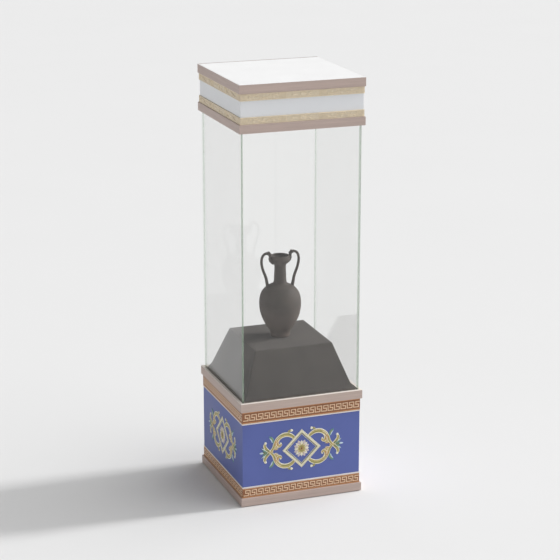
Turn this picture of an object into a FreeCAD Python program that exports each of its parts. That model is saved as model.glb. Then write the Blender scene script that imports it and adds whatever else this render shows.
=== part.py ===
import FreeCAD, Part

import math
import os

# Tower display case, in millimetres.
# Frame: origin on the floor at the centre of the plan, +Z up, the front face looks towards -Y,
# and the glass access door and the climate drawer open towards +Y.

VEC = FreeCAD.Vector
UP = VEC(0, 0, 1)
ALONG_X = VEC(1, 0, 0)
ALONG_Y = VEC(0, 1, 0)

# Heights, from the floor up.
PLINTH_BOTTOM = 3.0
PLINTH_TOP = 43.0
LOWER_KEY_TOP = 89.0
LOWER_BEAD_TOP = 96.0
UPPER_BEAD_BOTTOM = 403.0
UPPER_KEY_BOTTOM = 409.0
CORNICE_BOTTOM = 466.0
DECK_TOP = 508.5
RISER_KINK = 530.0
RISER_TOP = 720.0
CANOPY_BOTTOM = 1768.0
LOWER_RIM_TOP = 1808.0
LOWER_GOLD_TOP = 1840.0
UPPER_GOLD_BOTTOM = 1913.0
UPPER_RIM_BOTTOM = 1945.5
TOTAL_HEIGHT = 1987.0

# Half widths of the square plan.
CORNICE_HALF = 300.0
PANEL_HALF = 291.0
KEY_BAND_HALF = 292.5
GLASS_HALF = 286.0
RIM_HALF = 299.5
GOLD_HALF = 295.0
LIGHT_BAND_HALF = 291.5
RIM_INNER = 262.0
DECK_LEDGE = 18.0

# Thicknesses and clearances.
BOARD = 18.0
PANEL = 16.0
GLASS = 8.0
POST = 36.0
BOND = 0.5
GASKET = 1.0
GROOVE_DEPTH = 14.0
EDGE_CHAMFER = 1.2
LIGHT_BAND = 5.0
RELIEF = 3.0

PANEL_INNER = PANEL_HALF - PANEL
GLASS_INNER = GLASS_HALF - GLASS
POST_INNER = PANEL_INNER - POST
GROOVE_INNER = GLASS_INNER - GASKET
GROOVE_OUTER = GLASS_HALF + GASKET

# Levelling feet.
FOOT_PLACE = 230.0
FOOT_PAD_RADIUS = 22.0
FOOT_PAD_HEIGHT = 8.0
FOOT_STUD_RADIUS = 5.0
FOOT_STUD_TOP = 62.0
SOCKET_RADIUS = 9.0
SOCKET_FLANGE = 15.0
FOOT_RUNNING_GAP = 0.06

# Rear access door.
DOOR_BOTTOM = 514.0
DOOR_TOP = 1762.0
PIVOT_X = 282.0
PIVOT_Y = 290.0
PIVOT_RADIUS = 3.0
PIVOT_EAR = 6.0
BUSH_RADIUS = 5.0
PIVOT_GAP = 0.05
PATCH_LEFT = 226.0
PATCH_HEIGHT = 46.0
PATCH_PLATE = 4.0
SIDE_PANE_END = 274.0
LOCK_X = -170.0
LOCK_Z = 537.0
LOCK_RADIUS = 8.0
LOCK_GAP = 0.05
CAM_LENGTH = 32.0
CAM_WIDTH = 12.0
CAM = 3.0
# The slot that the door's cam swings down into.
STRIKE_LEFT = LOCK_X - 20.0
STRIKE_RIGHT = LOCK_X + 8.0

# Climate drawer.
DRAWER_HALF = 222.0
DRAWER_FRONT_END = -200.0
DRAWER_BOTTOM = 112.0
DRAWER_TOP = 300.0
DRAWER_WALL = 12.0
DRAWER_LOCK_Z = 384.0
RAIL_BOTTOM = 172.0
RAIL_TOP = 228.0

# Light box and its service hatch.
LID_HALF = 296.0
LID_REAR = 288.0
LID = 6.0
LID_AXIS_Y = 293.0
LID_AXIS_Z = 1983.5
KNUCKLE_RADIUS = 3.0
HINGE_PIN_RADIUS = 1.5
HINGE_LENGTH = 60.0
HINGE_PLACES = (-190.0, 130.0)
TRAY = 2.0
DIFFUSER = 4.0

# Mains inlet and switch, side by side in the rear of the upper rim.
INLET_X = -130.0
SWITCH_X = -85.0
ELECTRIC_Z = 1963.0


def box(x0, x1, y0, y1, z0, z1):
    """A block between two corners."""
    return Part.makeBox(x1 - x0, y1 - y0, z1 - z0, VEC(x0, y0, z0))


def fuse(shapes):
    """One solid from overlapping or touching pieces, with no leftover edges."""
    joined = shapes[0]
    for shape in shapes[1:]:
        joined = joined.fuse(shape)
    return joined.removeSplitter()


def turned(shape, degrees):
    """A copy turned about the vertical centre line."""
    copy = shape.copy()
    copy.rotate(VEC(0, 0, 0), UP, degrees)
    return copy


def square_wire(half, z, rear=None):
    """A square outline at one height, with its rear side moved in if rear is given."""
    back = half if rear is None else rear
    corners = [VEC(-half, -half, z), VEC(half, -half, z), VEC(half, back, z), VEC(-half, back, z)]
    return Part.makePolygon(corners + corners[:1])


def frustum(low_half, low_z, high_half, high_z):
    """A square frustum with flat sides."""
    return Part.makeLoft([square_wire(low_half, low_z), square_wire(high_half, high_z)], True, True)


def front_length(section):
    """One mitred length of moulding on the front side; section is a list of (distance out, height)."""
    reach = max(out for out, height in section)
    low = min(height for out, height in section)
    high = max(height for out, height in section)
    outline = [VEC(-reach, -out, height) for out, height in section]
    bar = Part.Face(Part.makePolygon(outline + outline[:1])).extrude(VEC(2 * reach, 0, 0))
    wedge_points = [VEC(0, 0, low), VEC(reach, -reach, low), VEC(-reach, -reach, low)]
    wedge = Part.Face(Part.makePolygon(wedge_points + wedge_points[:1])).extrude(VEC(0, 0, high - low))
    return bar.common(wedge).Solids[0]


def mitred_frame(section, rear_section=None):
    """Four mitred lengths round the plan: front, right, rear and left."""
    lengths = [turned(front_length(section), angle) for angle in (0, 90, -90)]
    lengths.append(turned(front_length(rear_section or section), 180))
    return lengths


def chamfered(inner, outer, low, high, chamfer=EDGE_CHAMFER):
    """A rectangular moulding section with its two outer edges eased."""
    return [
        (inner, low),
        (outer - chamfer, low),
        (outer, low + chamfer),
        (outer, high - chamfer),
        (outer - chamfer, high),
        (inner, high),
    ]


# Base


def plinth_moulding():
    return mitred_frame(chamfered(270.0, CORNICE_HALF, PLINTH_BOTTOM, PLINTH_TOP))


def base_board():
    board = box(-270, 270, -270, 270, PLINTH_TOP - BOARD, PLINTH_TOP)
    for x in (-FOOT_PLACE, FOOT_PLACE):
        for y in (-FOOT_PLACE, FOOT_PLACE):
            hole = Part.makeCylinder(SOCKET_RADIUS, 2 * BOARD, VEC(x, y, PLINTH_TOP - 1.5 * BOARD))
            board = board.cut(hole)
    return [board]


def foot_sockets():
    """Flanged threaded inserts in the base board, one for each foot."""
    sockets = []
    low = PLINTH_TOP - BOARD
    for x in (-FOOT_PLACE, FOOT_PLACE):
        for y in (-FOOT_PLACE, FOOT_PLACE):
            sleeve = Part.makeCylinder(SOCKET_RADIUS, BOARD, VEC(x, y, low))
            flange = Part.makeCylinder(SOCKET_FLANGE, 3, VEC(x, y, low - 3))
            hole = Part.makeCylinder(FOOT_STUD_RADIUS + FOOT_RUNNING_GAP, 60, VEC(x, y, 0))
            sockets.append(fuse([sleeve, flange]).cut(hole))
    return sockets


def levelling_foot(x, y):
    """A rubber-tipped pad with a hexagon and a stud that screws up into its socket."""
    pad = Part.makeCone(FOOT_PAD_RADIUS, FOOT_PAD_RADIUS - 4, FOOT_PAD_HEIGHT, VEC(x, y, 0))
    corners = [corner * math.pi / 3 for corner in range(7)]
    points = [VEC(x + 8.5 * math.cos(turn), y + 8.5 * math.sin(turn), 8) for turn in corners]
    nut = Part.Face(Part.makePolygon(points)).extrude(VEC(0, 0, 7))
    stud = Part.makeCylinder(FOOT_STUD_RADIUS, FOOT_STUD_TOP - FOOT_PAD_HEIGHT, VEC(x, y, FOOT_PAD_HEIGHT))
    return [fuse([pad, nut, stud])]


def front_panel():
    return [box(-PANEL_HALF, PANEL_HALF, -PANEL_HALF, -PANEL_INNER, PLINTH_TOP, CORNICE_BOTTOM)]


def side_panel(side):
    near = side * PANEL_INNER
    far = side * PANEL_HALF
    return [box(min(near, far), max(near, far), -PANEL_INNER, PANEL_HALF, PLINTH_TOP, CORNICE_BOTTOM)]


def rear_rails():
    """Fixed rails above and below the drawer."""
    lower = box(-PANEL_INNER, PANEL_INNER, PANEL_INNER, PANEL_HALF, PLINTH_TOP, LOWER_BEAD_TOP)
    upper = box(-PANEL_INNER, PANEL_INNER, PANEL_INNER, PANEL_HALF, UPPER_BEAD_BOTTOM, CORNICE_BOTTOM)
    return [lower, upper]


def corner_posts():
    posts = []
    for x in (-PANEL_INNER, POST_INNER):
        for y in (-PANEL_INNER, POST_INNER):
            posts.append(box(x, x + POST, y, y + POST, PLINTH_TOP, CORNICE_BOTTOM))
    return posts


def key_bands():
    """Applied strips that carry the key ornament, below and above the blue panels."""
    lower = mitred_frame(chamfered(PANEL_HALF, KEY_BAND_HALF, PLINTH_TOP, LOWER_KEY_TOP, 0.3))
    upper = mitred_frame(chamfered(PANEL_HALF, KEY_BAND_HALF, UPPER_KEY_BOTTOM, CORNICE_BOTTOM, 0.3))
    return lower + upper


def key_band_beads():
    """Thin pale beads between the key bands and the blue panels."""
    lower = mitred_frame(chamfered(PANEL_HALF, KEY_BAND_HALF + 0.8, LOWER_KEY_TOP, LOWER_BEAD_TOP, 0.7))
    upper = mitred_frame(chamfered(PANEL_HALF, KEY_BAND_HALF + 0.8, UPPER_BEAD_BOTTOM, UPPER_KEY_BOTTOM, 0.7))
    return lower + upper


def base_cornice():
    """The cornice carries the panes in a groove and the deck board on a ledge; its rear length is plain."""
    low = CORNICE_BOTTOM
    high = DECK_TOP
    floor = high - GROOVE_DEPTH
    ledge = high - BOARD
    grooved = [
        (RIM_INNER - DECK_LEDGE, low),
        (CORNICE_HALF - EDGE_CHAMFER, low),
        (CORNICE_HALF, low + EDGE_CHAMFER),
        (CORNICE_HALF, high - EDGE_CHAMFER),
        (CORNICE_HALF - EDGE_CHAMFER, high),
        (GROOVE_OUTER, high),
        (GROOVE_OUTER, floor),
        (GROOVE_INNER, floor),
        (GROOVE_INNER, high),
        (RIM_INNER, high),
        (RIM_INNER, ledge),
        (RIM_INNER - DECK_LEDGE, ledge),
    ]
    plain = grooved[:5] + grooved[9:]
    lengths = mitred_frame(grooved, plain)
    bush_seat = Part.makeCylinder(BUSH_RADIUS, GROOVE_DEPTH + 1, VEC(PIVOT_X, PIVOT_Y, floor))
    strike_pocket = box(STRIKE_LEFT, STRIKE_RIGHT, 266.5, 276, 499, high + 1)
    lengths[3] = lengths[3].cut(bush_seat).cut(strike_pocket)
    return lengths


def deck_board():
    return [box(-RIM_INNER, RIM_INNER, -RIM_INNER, RIM_INNER, DECK_TOP - BOARD, DECK_TOP)]


# Ornament: a flat openwork relief, drawn in the plane of the front panel about its centre height.

MEDALLION_Z = 253.0
DIAMOND = 93.0
DIAMOND_BAND = 16.0
ROSETTE = 42.0
ARCH_X = 96.0
ARCH_Z = 44.0
ARCH_RADIUS = 47.0
ARCH_BAND = 13.0
TAIL_X = 168.0
TAIL_Z = 22.0
TAIL_RADIUS = 30.0
TIP_REACH = 211.0


def diamond(half):
    """A square standing on its corner, one relief thick, on the front panel."""
    y = -PANEL_HALF
    corners = [
        VEC(half, y, MEDALLION_Z),
        VEC(0, y, MEDALLION_Z + half),
        VEC(-half, y, MEDALLION_Z),
        VEC(0, y, MEDALLION_Z - half),
    ]
    return Part.Face(Part.makePolygon(corners + corners[:1])).extrude(VEC(0, -RELIEF, 0))


def disc(x, z, radius):
    """A disc one relief thick, on the front panel."""
    return Part.makeCylinder(radius, RELIEF, VEC(x, -PANEL_HALF, MEDALLION_Z + z), VEC(0, -1, 0))


def medallion(angle):
    """Diamond frame with a rosette, four C-scroll arches, and a pointed leaf at each end."""
    frame = diamond(DIAMOND).cut(diamond(DIAMOND - DIAMOND_BAND))
    pieces = [frame]
    for side in (-1, 1):
        for height in (-1, 1):
            ring = disc(side * ARCH_X, height * ARCH_Z, ARCH_RADIUS)
            pieces.append(ring.cut(disc(side * ARCH_X, height * ARCH_Z, ARCH_RADIUS - ARCH_BAND)))
            tail = disc(side * TAIL_X, height * TAIL_Z, TAIL_RADIUS)
            pieces.append(tail.cut(disc(side * TAIL_X, height * TAIL_Z, TAIL_RADIUS - ARCH_BAND + 3)))
        leaf = Part.makePolygon(
            [
                VEC(side * TIP_REACH, -PANEL_HALF, MEDALLION_Z),
                VEC(side * (TIP_REACH - 30), -PANEL_HALF, MEDALLION_Z + 14),
                VEC(side * (TIP_REACH - 52), -PANEL_HALF, MEDALLION_Z),
                VEC(side * (TIP_REACH - 30), -PANEL_HALF, MEDALLION_Z - 14),
                VEC(side * TIP_REACH, -PANEL_HALF, MEDALLION_Z),
            ]
        )
        pieces.append(Part.Face(leaf).extrude(VEC(0, -RELIEF, 0)))
    spokes = []
    for turn in (0, 90):
        reach = DIAMOND - 12
        bar = box(-reach, reach, -PANEL_HALF - RELIEF, -PANEL_HALF, MEDALLION_Z - 3, MEDALLION_Z + 3)
        bar.rotate(VEC(0, -PANEL_HALF, MEDALLION_Z), ALONG_Y, turn)
        spokes.append(bar)
    return [turned(fuse(pieces + spokes + [disc(0, 0, ROSETTE)]), angle)]


# Climate drawer


def drawer_runners():
    """Fixed C-section runners on the posts' inner faces."""
    runners = []
    for side in (-1, 1):
        web = box(235, POST_INNER, -238, 270, RAIL_BOTTOM, RAIL_TOP)
        low_lip = box(229, 235, -238, 270, RAIL_BOTTOM, RAIL_BOTTOM + 4)
        high_lip = box(229, 235, -238, 270, RAIL_TOP - 4, RAIL_TOP)
        runner = fuse([web, low_lip, high_lip])
        runners.append(runner if side > 0 else turned_over_x(runner))
    return runners


def turned_over_x(shape):
    """The mirror image across the middle plane of the plan."""
    return shape.mirror(VEC(0, 0, 0), ALONG_X)


def drawer_rails():
    """Moving rails on the drawer's sides, 1 mm clear of the fixed runners."""
    rail = box(DRAWER_HALF, 234, -198, 268, RAIL_BOTTOM + 5, RAIL_TOP - 5)
    return [rail, turned_over_x(rail)]


def drawer_front():
    panel = box(-274, 274, PANEL_INNER, PANEL_HALF, LOWER_BEAD_TOP + 1.5, UPPER_BEAD_BOTTOM - 1.5)
    lock_place = VEC(0, PANEL_INNER - 4, DRAWER_LOCK_Z)
    barrel_hole = Part.makeCylinder(LOCK_RADIUS + 2, 2 * PANEL, lock_place, ALONG_Y)
    return [panel.cut(barrel_hole)]


def drawer_box():
    """Bottom board, two sides and an inner end board; the rear panel closes the other end."""
    floor_top = DRAWER_BOTTOM + DRAWER_WALL
    inner = DRAWER_HALF - DRAWER_WALL
    inner_end = DRAWER_FRONT_END + DRAWER_WALL
    bottom = box(-DRAWER_HALF, DRAWER_HALF, DRAWER_FRONT_END, PANEL_INNER, DRAWER_BOTTOM, floor_top)
    side = box(inner, DRAWER_HALF, DRAWER_FRONT_END, PANEL_INNER, floor_top, DRAWER_TOP)
    end = box(-inner, inner, DRAWER_FRONT_END, inner_end, floor_top, DRAWER_TOP)
    return [bottom, side, turned_over_x(side), end]


def silica_gel_cassettes():
    """Two flat perforated cassettes of moisture-buffering gel, lying on the drawer's bottom."""
    low = DRAWER_BOTTOM + DRAWER_WALL
    cassettes = []
    for x in (-200, 5):
        body = box(x, x + 195, -180, 200, low, low + 26)
        rim = box(x + 8, x + 187, -172, 192, low + 24, low + 27)
        cassettes.append(body.cut(rim))
    return cassettes


def lock_barrel(x, z, radius, y0, y1):
    """A flanged barrel with a running bore for its plug."""
    barrel = Part.makeCylinder(radius + 2, y1 - y0, VEC(x, y0, z), ALONG_Y)
    flange = Part.makeCylinder(radius + 5, 2, VEC(x, y1, z), ALONG_Y)
    bore = Part.makeCylinder(radius + LOCK_GAP, y1 - y0 + 6, VEC(x, y0 - 2, z), ALONG_Y)
    return fuse([barrel, flange]).cut(bore)


def lock_plug(x, z, radius, y0, y1):
    """A key plug with its slot and, on the inner end, a flat cam that points to -X when unlocked."""
    plug = Part.makeCylinder(radius, y1 - y0, VEC(x, y0, z), ALONG_Y)
    cam = box(x - CAM_LENGTH, x, y0 - CAM, y0, z - CAM_WIDTH / 2, z + CAM_WIDTH / 2)
    boss = Part.makeCylinder(CAM_WIDTH / 2, CAM, VEC(x, y0 - CAM, z), ALONG_Y)
    slot = box(x - 1, x + 1, y1 - 2, y1 + 1, z - 4, z + 4)
    return fuse([plug, cam, boss]).cut(slot)


def drawer_lock_barrel():
    return [lock_barrel(0, DRAWER_LOCK_Z, LOCK_RADIUS, PANEL_INNER - 4, PANEL_HALF)]


def drawer_lock_plug():
    return [lock_plug(0, DRAWER_LOCK_Z, LOCK_RADIUS, PANEL_INNER - 4.5, PANEL_HALF + 2.5)]


# Glass


def front_pane():
    low = DECK_TOP - GROOVE_DEPTH + GASKET
    high = CANOPY_BOTTOM + GROOVE_DEPTH - GASKET
    return [box(-GLASS_HALF, GLASS_HALF, -GLASS_HALF, -GLASS_INNER, low, high)]


def side_pane(side):
    low = DECK_TOP - GROOVE_DEPTH + GASKET
    high = CANOPY_BOTTOM + GROOVE_DEPTH - GASKET
    near = side * GLASS_INNER
    far = side * GLASS_HALF
    return [box(min(near, far), max(near, far), -GLASS_INNER + BOND, SIDE_PANE_END, low, high)]


def corner_bond_beads():
    """Clear bonding in the two front butt joints."""
    low = DECK_TOP - GROOVE_DEPTH + GASKET
    high = CANOPY_BOTTOM + GROOVE_DEPTH - GASKET
    bead = box(GLASS_INNER, GLASS_HALF, -GLASS_INNER, -GLASS_INNER + BOND, low, high)
    return [bead, turned_over_x(bead)]


def gasket(x0, x1, y0, y1, floor, rise):
    """A U-section gasket round the edge of a pane; rise is +1 in a floor groove and -1 overhead."""
    lip = rise * (GROOVE_DEPTH - 1)
    outer = box(x0, x1, y0, y1, min(floor, floor + lip), max(floor, floor + lip))
    bed = floor + rise * GASKET
    top = floor + rise * (GROOVE_DEPTH + 1)
    if x1 - x0 > y1 - y0:
        glass_space = box(x0, x1, y0 + GASKET, y1 - GASKET, min(bed, top), max(bed, top))
    else:
        glass_space = box(x0 + GASKET, x1 - GASKET, y0, y1, min(bed, top), max(bed, top))
    return outer.cut(glass_space)


def glazing_gaskets():
    """Gaskets under and over the three fixed panes."""
    gaskets = []
    for floor, rise in ((DECK_TOP - GROOVE_DEPTH, 1), (CANOPY_BOTTOM + GROOVE_DEPTH, -1)):
        front = gasket(-GLASS_HALF, GLASS_HALF, -GROOVE_OUTER, -GROOVE_INNER, floor, rise)
        pane_end = box(GROOVE_INNER, GROOVE_OUTER, -GLASS_INNER, -GROOVE_INNER, floor - 20, floor + 20)
        side = gasket(GROOVE_INNER, GROOVE_OUTER, -GLASS_INNER, SIDE_PANE_END, floor, rise)
        gaskets.append(front.cut(pane_end).cut(turned_over_x(pane_end)))
        gaskets.append(side)
        gaskets.append(turned_over_x(side))
    return gaskets


def door_seals():
    """Dust seals on the side panes' rear edges; the one at the pivot is shorter, to clear the door's heel."""
    low = DECK_TOP + 1
    high = CANOPY_BOTTOM - 1
    free_side = box(-GLASS_HALF + 1, -GLASS_INNER - 1, SIDE_PANE_END, GLASS_INNER - 0.3, low, high)
    pivot_side = box(GLASS_INNER + 1, GLASS_HALF - 1, SIDE_PANE_END, SIDE_PANE_END + 1.5, low, high)
    return [free_side, pivot_side]


# Access door


def door_pane():
    pane = box(-GLASS_HALF, GLASS_HALF, GLASS_INNER, GLASS_HALF, DOOR_BOTTOM, DOOR_TOP)
    hole = Part.makeCylinder(LOCK_RADIUS + 3, 4 * GLASS, VEC(LOCK_X, GLASS_INNER - GLASS, LOCK_Z), ALONG_Y)
    return [pane.cut(hole)]


def door_patch(edge, rise):
    """A clamp on the pane's corner, with the pivot ear; edge is the pane's bottom or top."""
    web = box(PATCH_LEFT, GLASS_HALF, GLASS_INNER - 1, PIVOT_Y, -4, 0)
    outer = box(PATCH_LEFT, GLASS_HALF, GLASS_HALF, PIVOT_Y, -4, PATCH_HEIGHT)
    inner = box(PATCH_LEFT, SIDE_PANE_END, GLASS_INNER - PATCH_PLATE, GLASS_INNER, -4, PATCH_HEIGHT)
    ear = Part.makeCylinder(PIVOT_EAR, PATCH_HEIGHT + 4, VEC(PIVOT_X, PIVOT_Y, -4))
    glass_space = box(-GLASS_HALF, GLASS_HALF + 10, GLASS_INNER, GLASS_HALF, 0, 100)
    patch = fuse([web, outer, inner, ear]).cut(glass_space)
    if rise < 0:
        patch = patch.mirror(VEC(0, 0, 0), UP)
    patch.translate(VEC(0, 0, edge))
    return patch


def door_patches():
    return [door_patch(DOOR_BOTTOM, 1), door_patch(DOOR_TOP, -1)]


def door_pivot_pins():
    """Pins on the patches, turning in the bushes of the cornice and the canopy."""
    low = Part.makeCylinder(PIVOT_RADIUS, 15.4, VEC(PIVOT_X, PIVOT_Y, DOOR_BOTTOM - 19.4))
    high = Part.makeCylinder(PIVOT_RADIUS, 14, VEC(PIVOT_X, PIVOT_Y, DOOR_TOP + 4))
    return [low, high]


def pivot_bushes():
    """Plain bushes, blind at their far ends, with a thrust flange standing clear of the patches."""
    bushes = []
    for low, mouth in ((DECK_TOP - GROOVE_DEPTH, DECK_TOP), (CANOPY_BOTTOM + GROOVE_DEPTH, CANOPY_BOTTOM)):
        depth = abs(mouth - low)
        foot = min(low, mouth)
        bush = Part.makeCylinder(BUSH_RADIUS, depth, VEC(PIVOT_X, PIVOT_Y, foot))
        bore = Part.makeCylinder(PIVOT_RADIUS + PIVOT_GAP, depth + 2, VEC(PIVOT_X, PIVOT_Y, foot - 1))
        bushes.append(bush.cut(bore))
    return bushes


def door_lock_case():
    """A clamp on the pane's lower edge that holds the lock plug through a hole in the glass."""
    web = box(LOCK_X - 30, LOCK_X + 30, GLASS_INNER - PATCH_PLATE, PIVOT_Y, DOOR_BOTTOM - 4, DOOR_BOTTOM)
    outer = box(LOCK_X - 30, LOCK_X + 30, GLASS_HALF, PIVOT_Y, DOOR_BOTTOM - 4, DOOR_BOTTOM + PATCH_HEIGHT)
    inner = outer.copy()
    inner.translate(VEC(0, GLASS_INNER - GLASS_HALF - PATCH_PLATE, 0))
    boss = Part.makeCylinder(LOCK_RADIUS + 5, 6, VEC(LOCK_X, PIVOT_Y, LOCK_Z), ALONG_Y)
    sleeve = Part.makeCylinder(LOCK_RADIUS + 2.5, GLASS, VEC(LOCK_X, GLASS_INNER, LOCK_Z), ALONG_Y)
    bore = Part.makeCylinder(LOCK_RADIUS + LOCK_GAP, 60, VEC(LOCK_X, 250, LOCK_Z), ALONG_Y)
    return [fuse([web, outer, inner, boss, sleeve]).cut(bore)]


def door_lock_plug():
    return [lock_plug(LOCK_X, LOCK_Z, LOCK_RADIUS, GLASS_INNER - PATCH_PLATE - 1.5, PIVOT_Y + 6.5)]


def lock_strikes():
    """Steel plates that the two cams catch: one on the cornice, one on the upper rear rail."""
    door_plate = box(LOCK_X - 27, LOCK_X + 15, RIM_INNER + 4.5, GLASS_INNER - 1, DECK_TOP, DECK_TOP + 0.8)
    door_slot = box(STRIKE_LEFT, STRIKE_RIGHT, 267.5, 275, DECK_TOP - 1, DECK_TOP + 2)
    drawer_plate = box(-20, 20, PANEL_INNER - 2, PANEL_INNER, UPPER_BEAD_BOTTOM + 3, UPPER_BEAD_BOTTOM + 28)
    return [door_plate.cut(door_slot), drawer_plate]


# Exhibit and its riser

RISER_LOW_HALF = 277.0
RISER_KINK_HALF = 259.5
RISER_TOP_HALF = 190.6
RISER_WALL = 12.0
RISER_REAR = 266.0


def riser():
    """A cloth-covered platform: a truncated pyramid with a flared foot, hollow and open below."""
    foot = frustum(RISER_LOW_HALF, DECK_TOP, RISER_KINK_HALF, RISER_KINK)
    body = frustum(RISER_KINK_HALF, RISER_KINK, RISER_TOP_HALF, RISER_TOP)
    inside_low = RISER_KINK_HALF - RISER_WALL
    inside_high = RISER_TOP_HALF - RISER_WALL
    foot_space = box(-inside_low, inside_low, -inside_low, inside_low, DECK_TOP - 1, RISER_KINK)
    body_space = frustum(inside_low, RISER_KINK, inside_high, RISER_TOP - RISER_WALL)
    behind = box(-400, 400, RISER_REAR, 400, DECK_TOP - 10, RISER_TOP)
    return [fuse([foot, body]).cut(fuse([foot_space, body_space])).cut(behind)]


VASE_OUTSIDE = [
    (46, 0),
    (46.5, 12),
    (53, 32),
    (75, 60),
    (94, 110),
    (99, 160),
    (91.5, 206),
    (65, 241),
    (36, 257),
    (29.5, 280),
    (27, 335),
    (30, 354),
    (40, 367),
    (45, 378),
    (44.5, 387),
    (42, 393),
]
VASE_INSIDE = [
    (37, 393),
    (38.5, 381),
    (33, 371),
    (22, 355),
    (20, 335),
    (22, 280),
    (29, 262),
    (57, 236),
    (84, 204),
    (91, 160),
    (86, 112),
    (66, 68),
    (42, 38),
    (30, 28),
]
HANDLE_RADIUS = 5.5
HANDLE_OUT = 93.0
HANDLE_LOW = (60.0, 250.0)
HANDLE_KNEE = 358.0
HANDLE_TURN = 22.0
HANDLE_TURN_Z = 384.0
HEAD_RADIUS = 9.0


def vase_profile(points):
    """A smooth curve through the profile points, in the XZ plane above the riser."""
    curve = Part.BSplineCurve()
    curve.interpolate([VEC(r, 0, RISER_TOP + z) for r, z in points])
    return curve.toShape()


def vase_handle():
    """A round handle: a long rising arc, a short straight, and a tight turn over the lip."""
    root_x, root_z = HANDLE_LOW
    rise = HANDLE_KNEE - root_z
    inset = HANDLE_OUT - root_x
    radius = (rise * rise + inset * inset) / (2 * inset)
    centre = VEC(HANDLE_OUT - radius, 0, RISER_TOP + HANDLE_KNEE)
    root_angle = -math.asin(rise / radius)
    middle = centre + VEC(radius * math.cos(root_angle / 2), 0, radius * math.sin(root_angle / 2))
    root = VEC(root_x, 0, RISER_TOP + root_z)
    knee = VEC(HANDLE_OUT, 0, RISER_TOP + HANDLE_KNEE)
    shoulder = VEC(HANDLE_OUT, 0, RISER_TOP + HANDLE_TURN_Z)
    turn_centre = VEC(HANDLE_OUT - HANDLE_TURN, 0, RISER_TOP + HANDLE_TURN_Z)
    over = turn_centre + VEC(0, 0, HANDLE_TURN)
    end_angle = math.radians(202)
    end = turn_centre + VEC(HANDLE_TURN * math.cos(end_angle), 0, HANDLE_TURN * math.sin(end_angle))
    path = Part.Wire(
        [
            Part.Arc(root, middle, knee).toShape(),
            Part.LineSegment(knee, shoulder).toShape(),
            Part.Arc(shoulder, over, end).toShape(),
        ]
    )
    tangent = VEC(-math.sin(root_angle), 0, math.cos(root_angle))
    ring = Part.Wire(Part.makeCircle(HANDLE_RADIUS, root, tangent))
    tube = path.makePipeShell([ring], True, True)
    return fuse([tube, Part.makeSphere(HEAD_RADIUS, end)])


def vase():
    """A hollow two-handled amphora standing on the riser."""
    outside = vase_profile(VASE_OUTSIDE)
    inside = vase_profile(VASE_INSIDE)
    foot = VEC(0, 0, RISER_TOP)
    depth = VEC(0, 0, RISER_TOP + VASE_INSIDE[-1][1])
    edges = [
        Part.LineSegment(foot, outside.Vertexes[0].Point).toShape(),
        outside,
        Part.LineSegment(outside.Vertexes[-1].Point, inside.Vertexes[0].Point).toShape(),
        inside,
        Part.LineSegment(inside.Vertexes[-1].Point, depth).toShape(),
        Part.LineSegment(depth, foot).toShape(),
    ]
    body = Part.Face(Part.Wire(edges)).revolve(VEC(0, 0, 0), UP, 360)
    handle = vase_handle()
    return [body.fuse([handle, turned_over_x(handle)])]


# Canopy and light box


def canopy_lower_rim():
    """The rim over the glass, grooved for the fixed panes, with a lip for the ceiling diffuser."""
    low = CANOPY_BOTTOM
    high = LOWER_RIM_TOP
    roof = low + GROOVE_DEPTH
    lip = RIM_INNER - 6
    grooved = [
        (lip, low),
        (GROOVE_INNER, low),
        (GROOVE_INNER, roof),
        (GROOVE_OUTER, roof),
        (GROOVE_OUTER, low),
        (RIM_HALF - EDGE_CHAMFER, low),
        (RIM_HALF, low + EDGE_CHAMFER),
        (RIM_HALF, high - EDGE_CHAMFER),
        (RIM_HALF - EDGE_CHAMFER, high),
        (RIM_INNER, high),
        (RIM_INNER, low + 3),
        (lip, low + 3),
    ]
    plain = grooved[:1] + grooved[5:]
    lengths = mitred_frame(grooved, plain)
    bush_seat = Part.makeCylinder(BUSH_RADIUS, GROOVE_DEPTH + 1, VEC(PIVOT_X, PIVOT_Y, low - 1))
    lengths[3] = lengths[3].cut(bush_seat)
    return lengths


def gold_bands():
    """Two ornamented bands, below and above the light band."""
    inner = GOLD_HALF - 16
    lower = mitred_frame(chamfered(inner, GOLD_HALF, LOWER_RIM_TOP, LOWER_GOLD_TOP, 0.8))
    upper = mitred_frame(chamfered(inner, GOLD_HALF, UPPER_GOLD_BOTTOM, UPPER_RIM_BOTTOM, 0.8))
    return lower + upper


def light_band():
    """Four mitred opal panes between the gold bands."""
    inner = LIGHT_BAND_HALF - LIGHT_BAND
    return mitred_frame(chamfered(inner, LIGHT_BAND_HALF, LOWER_GOLD_TOP, UPPER_GOLD_BOTTOM, 0.3))


def canopy_posts():
    posts = []
    near = GOLD_HALF - 16 - 28
    for x in (-near - 28, near):
        for y in (-near - 28, near):
            posts.append(box(x, x + 28, y, y + 28, LOWER_RIM_TOP, UPPER_RIM_BOTTOM - TRAY))
    return posts


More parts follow.
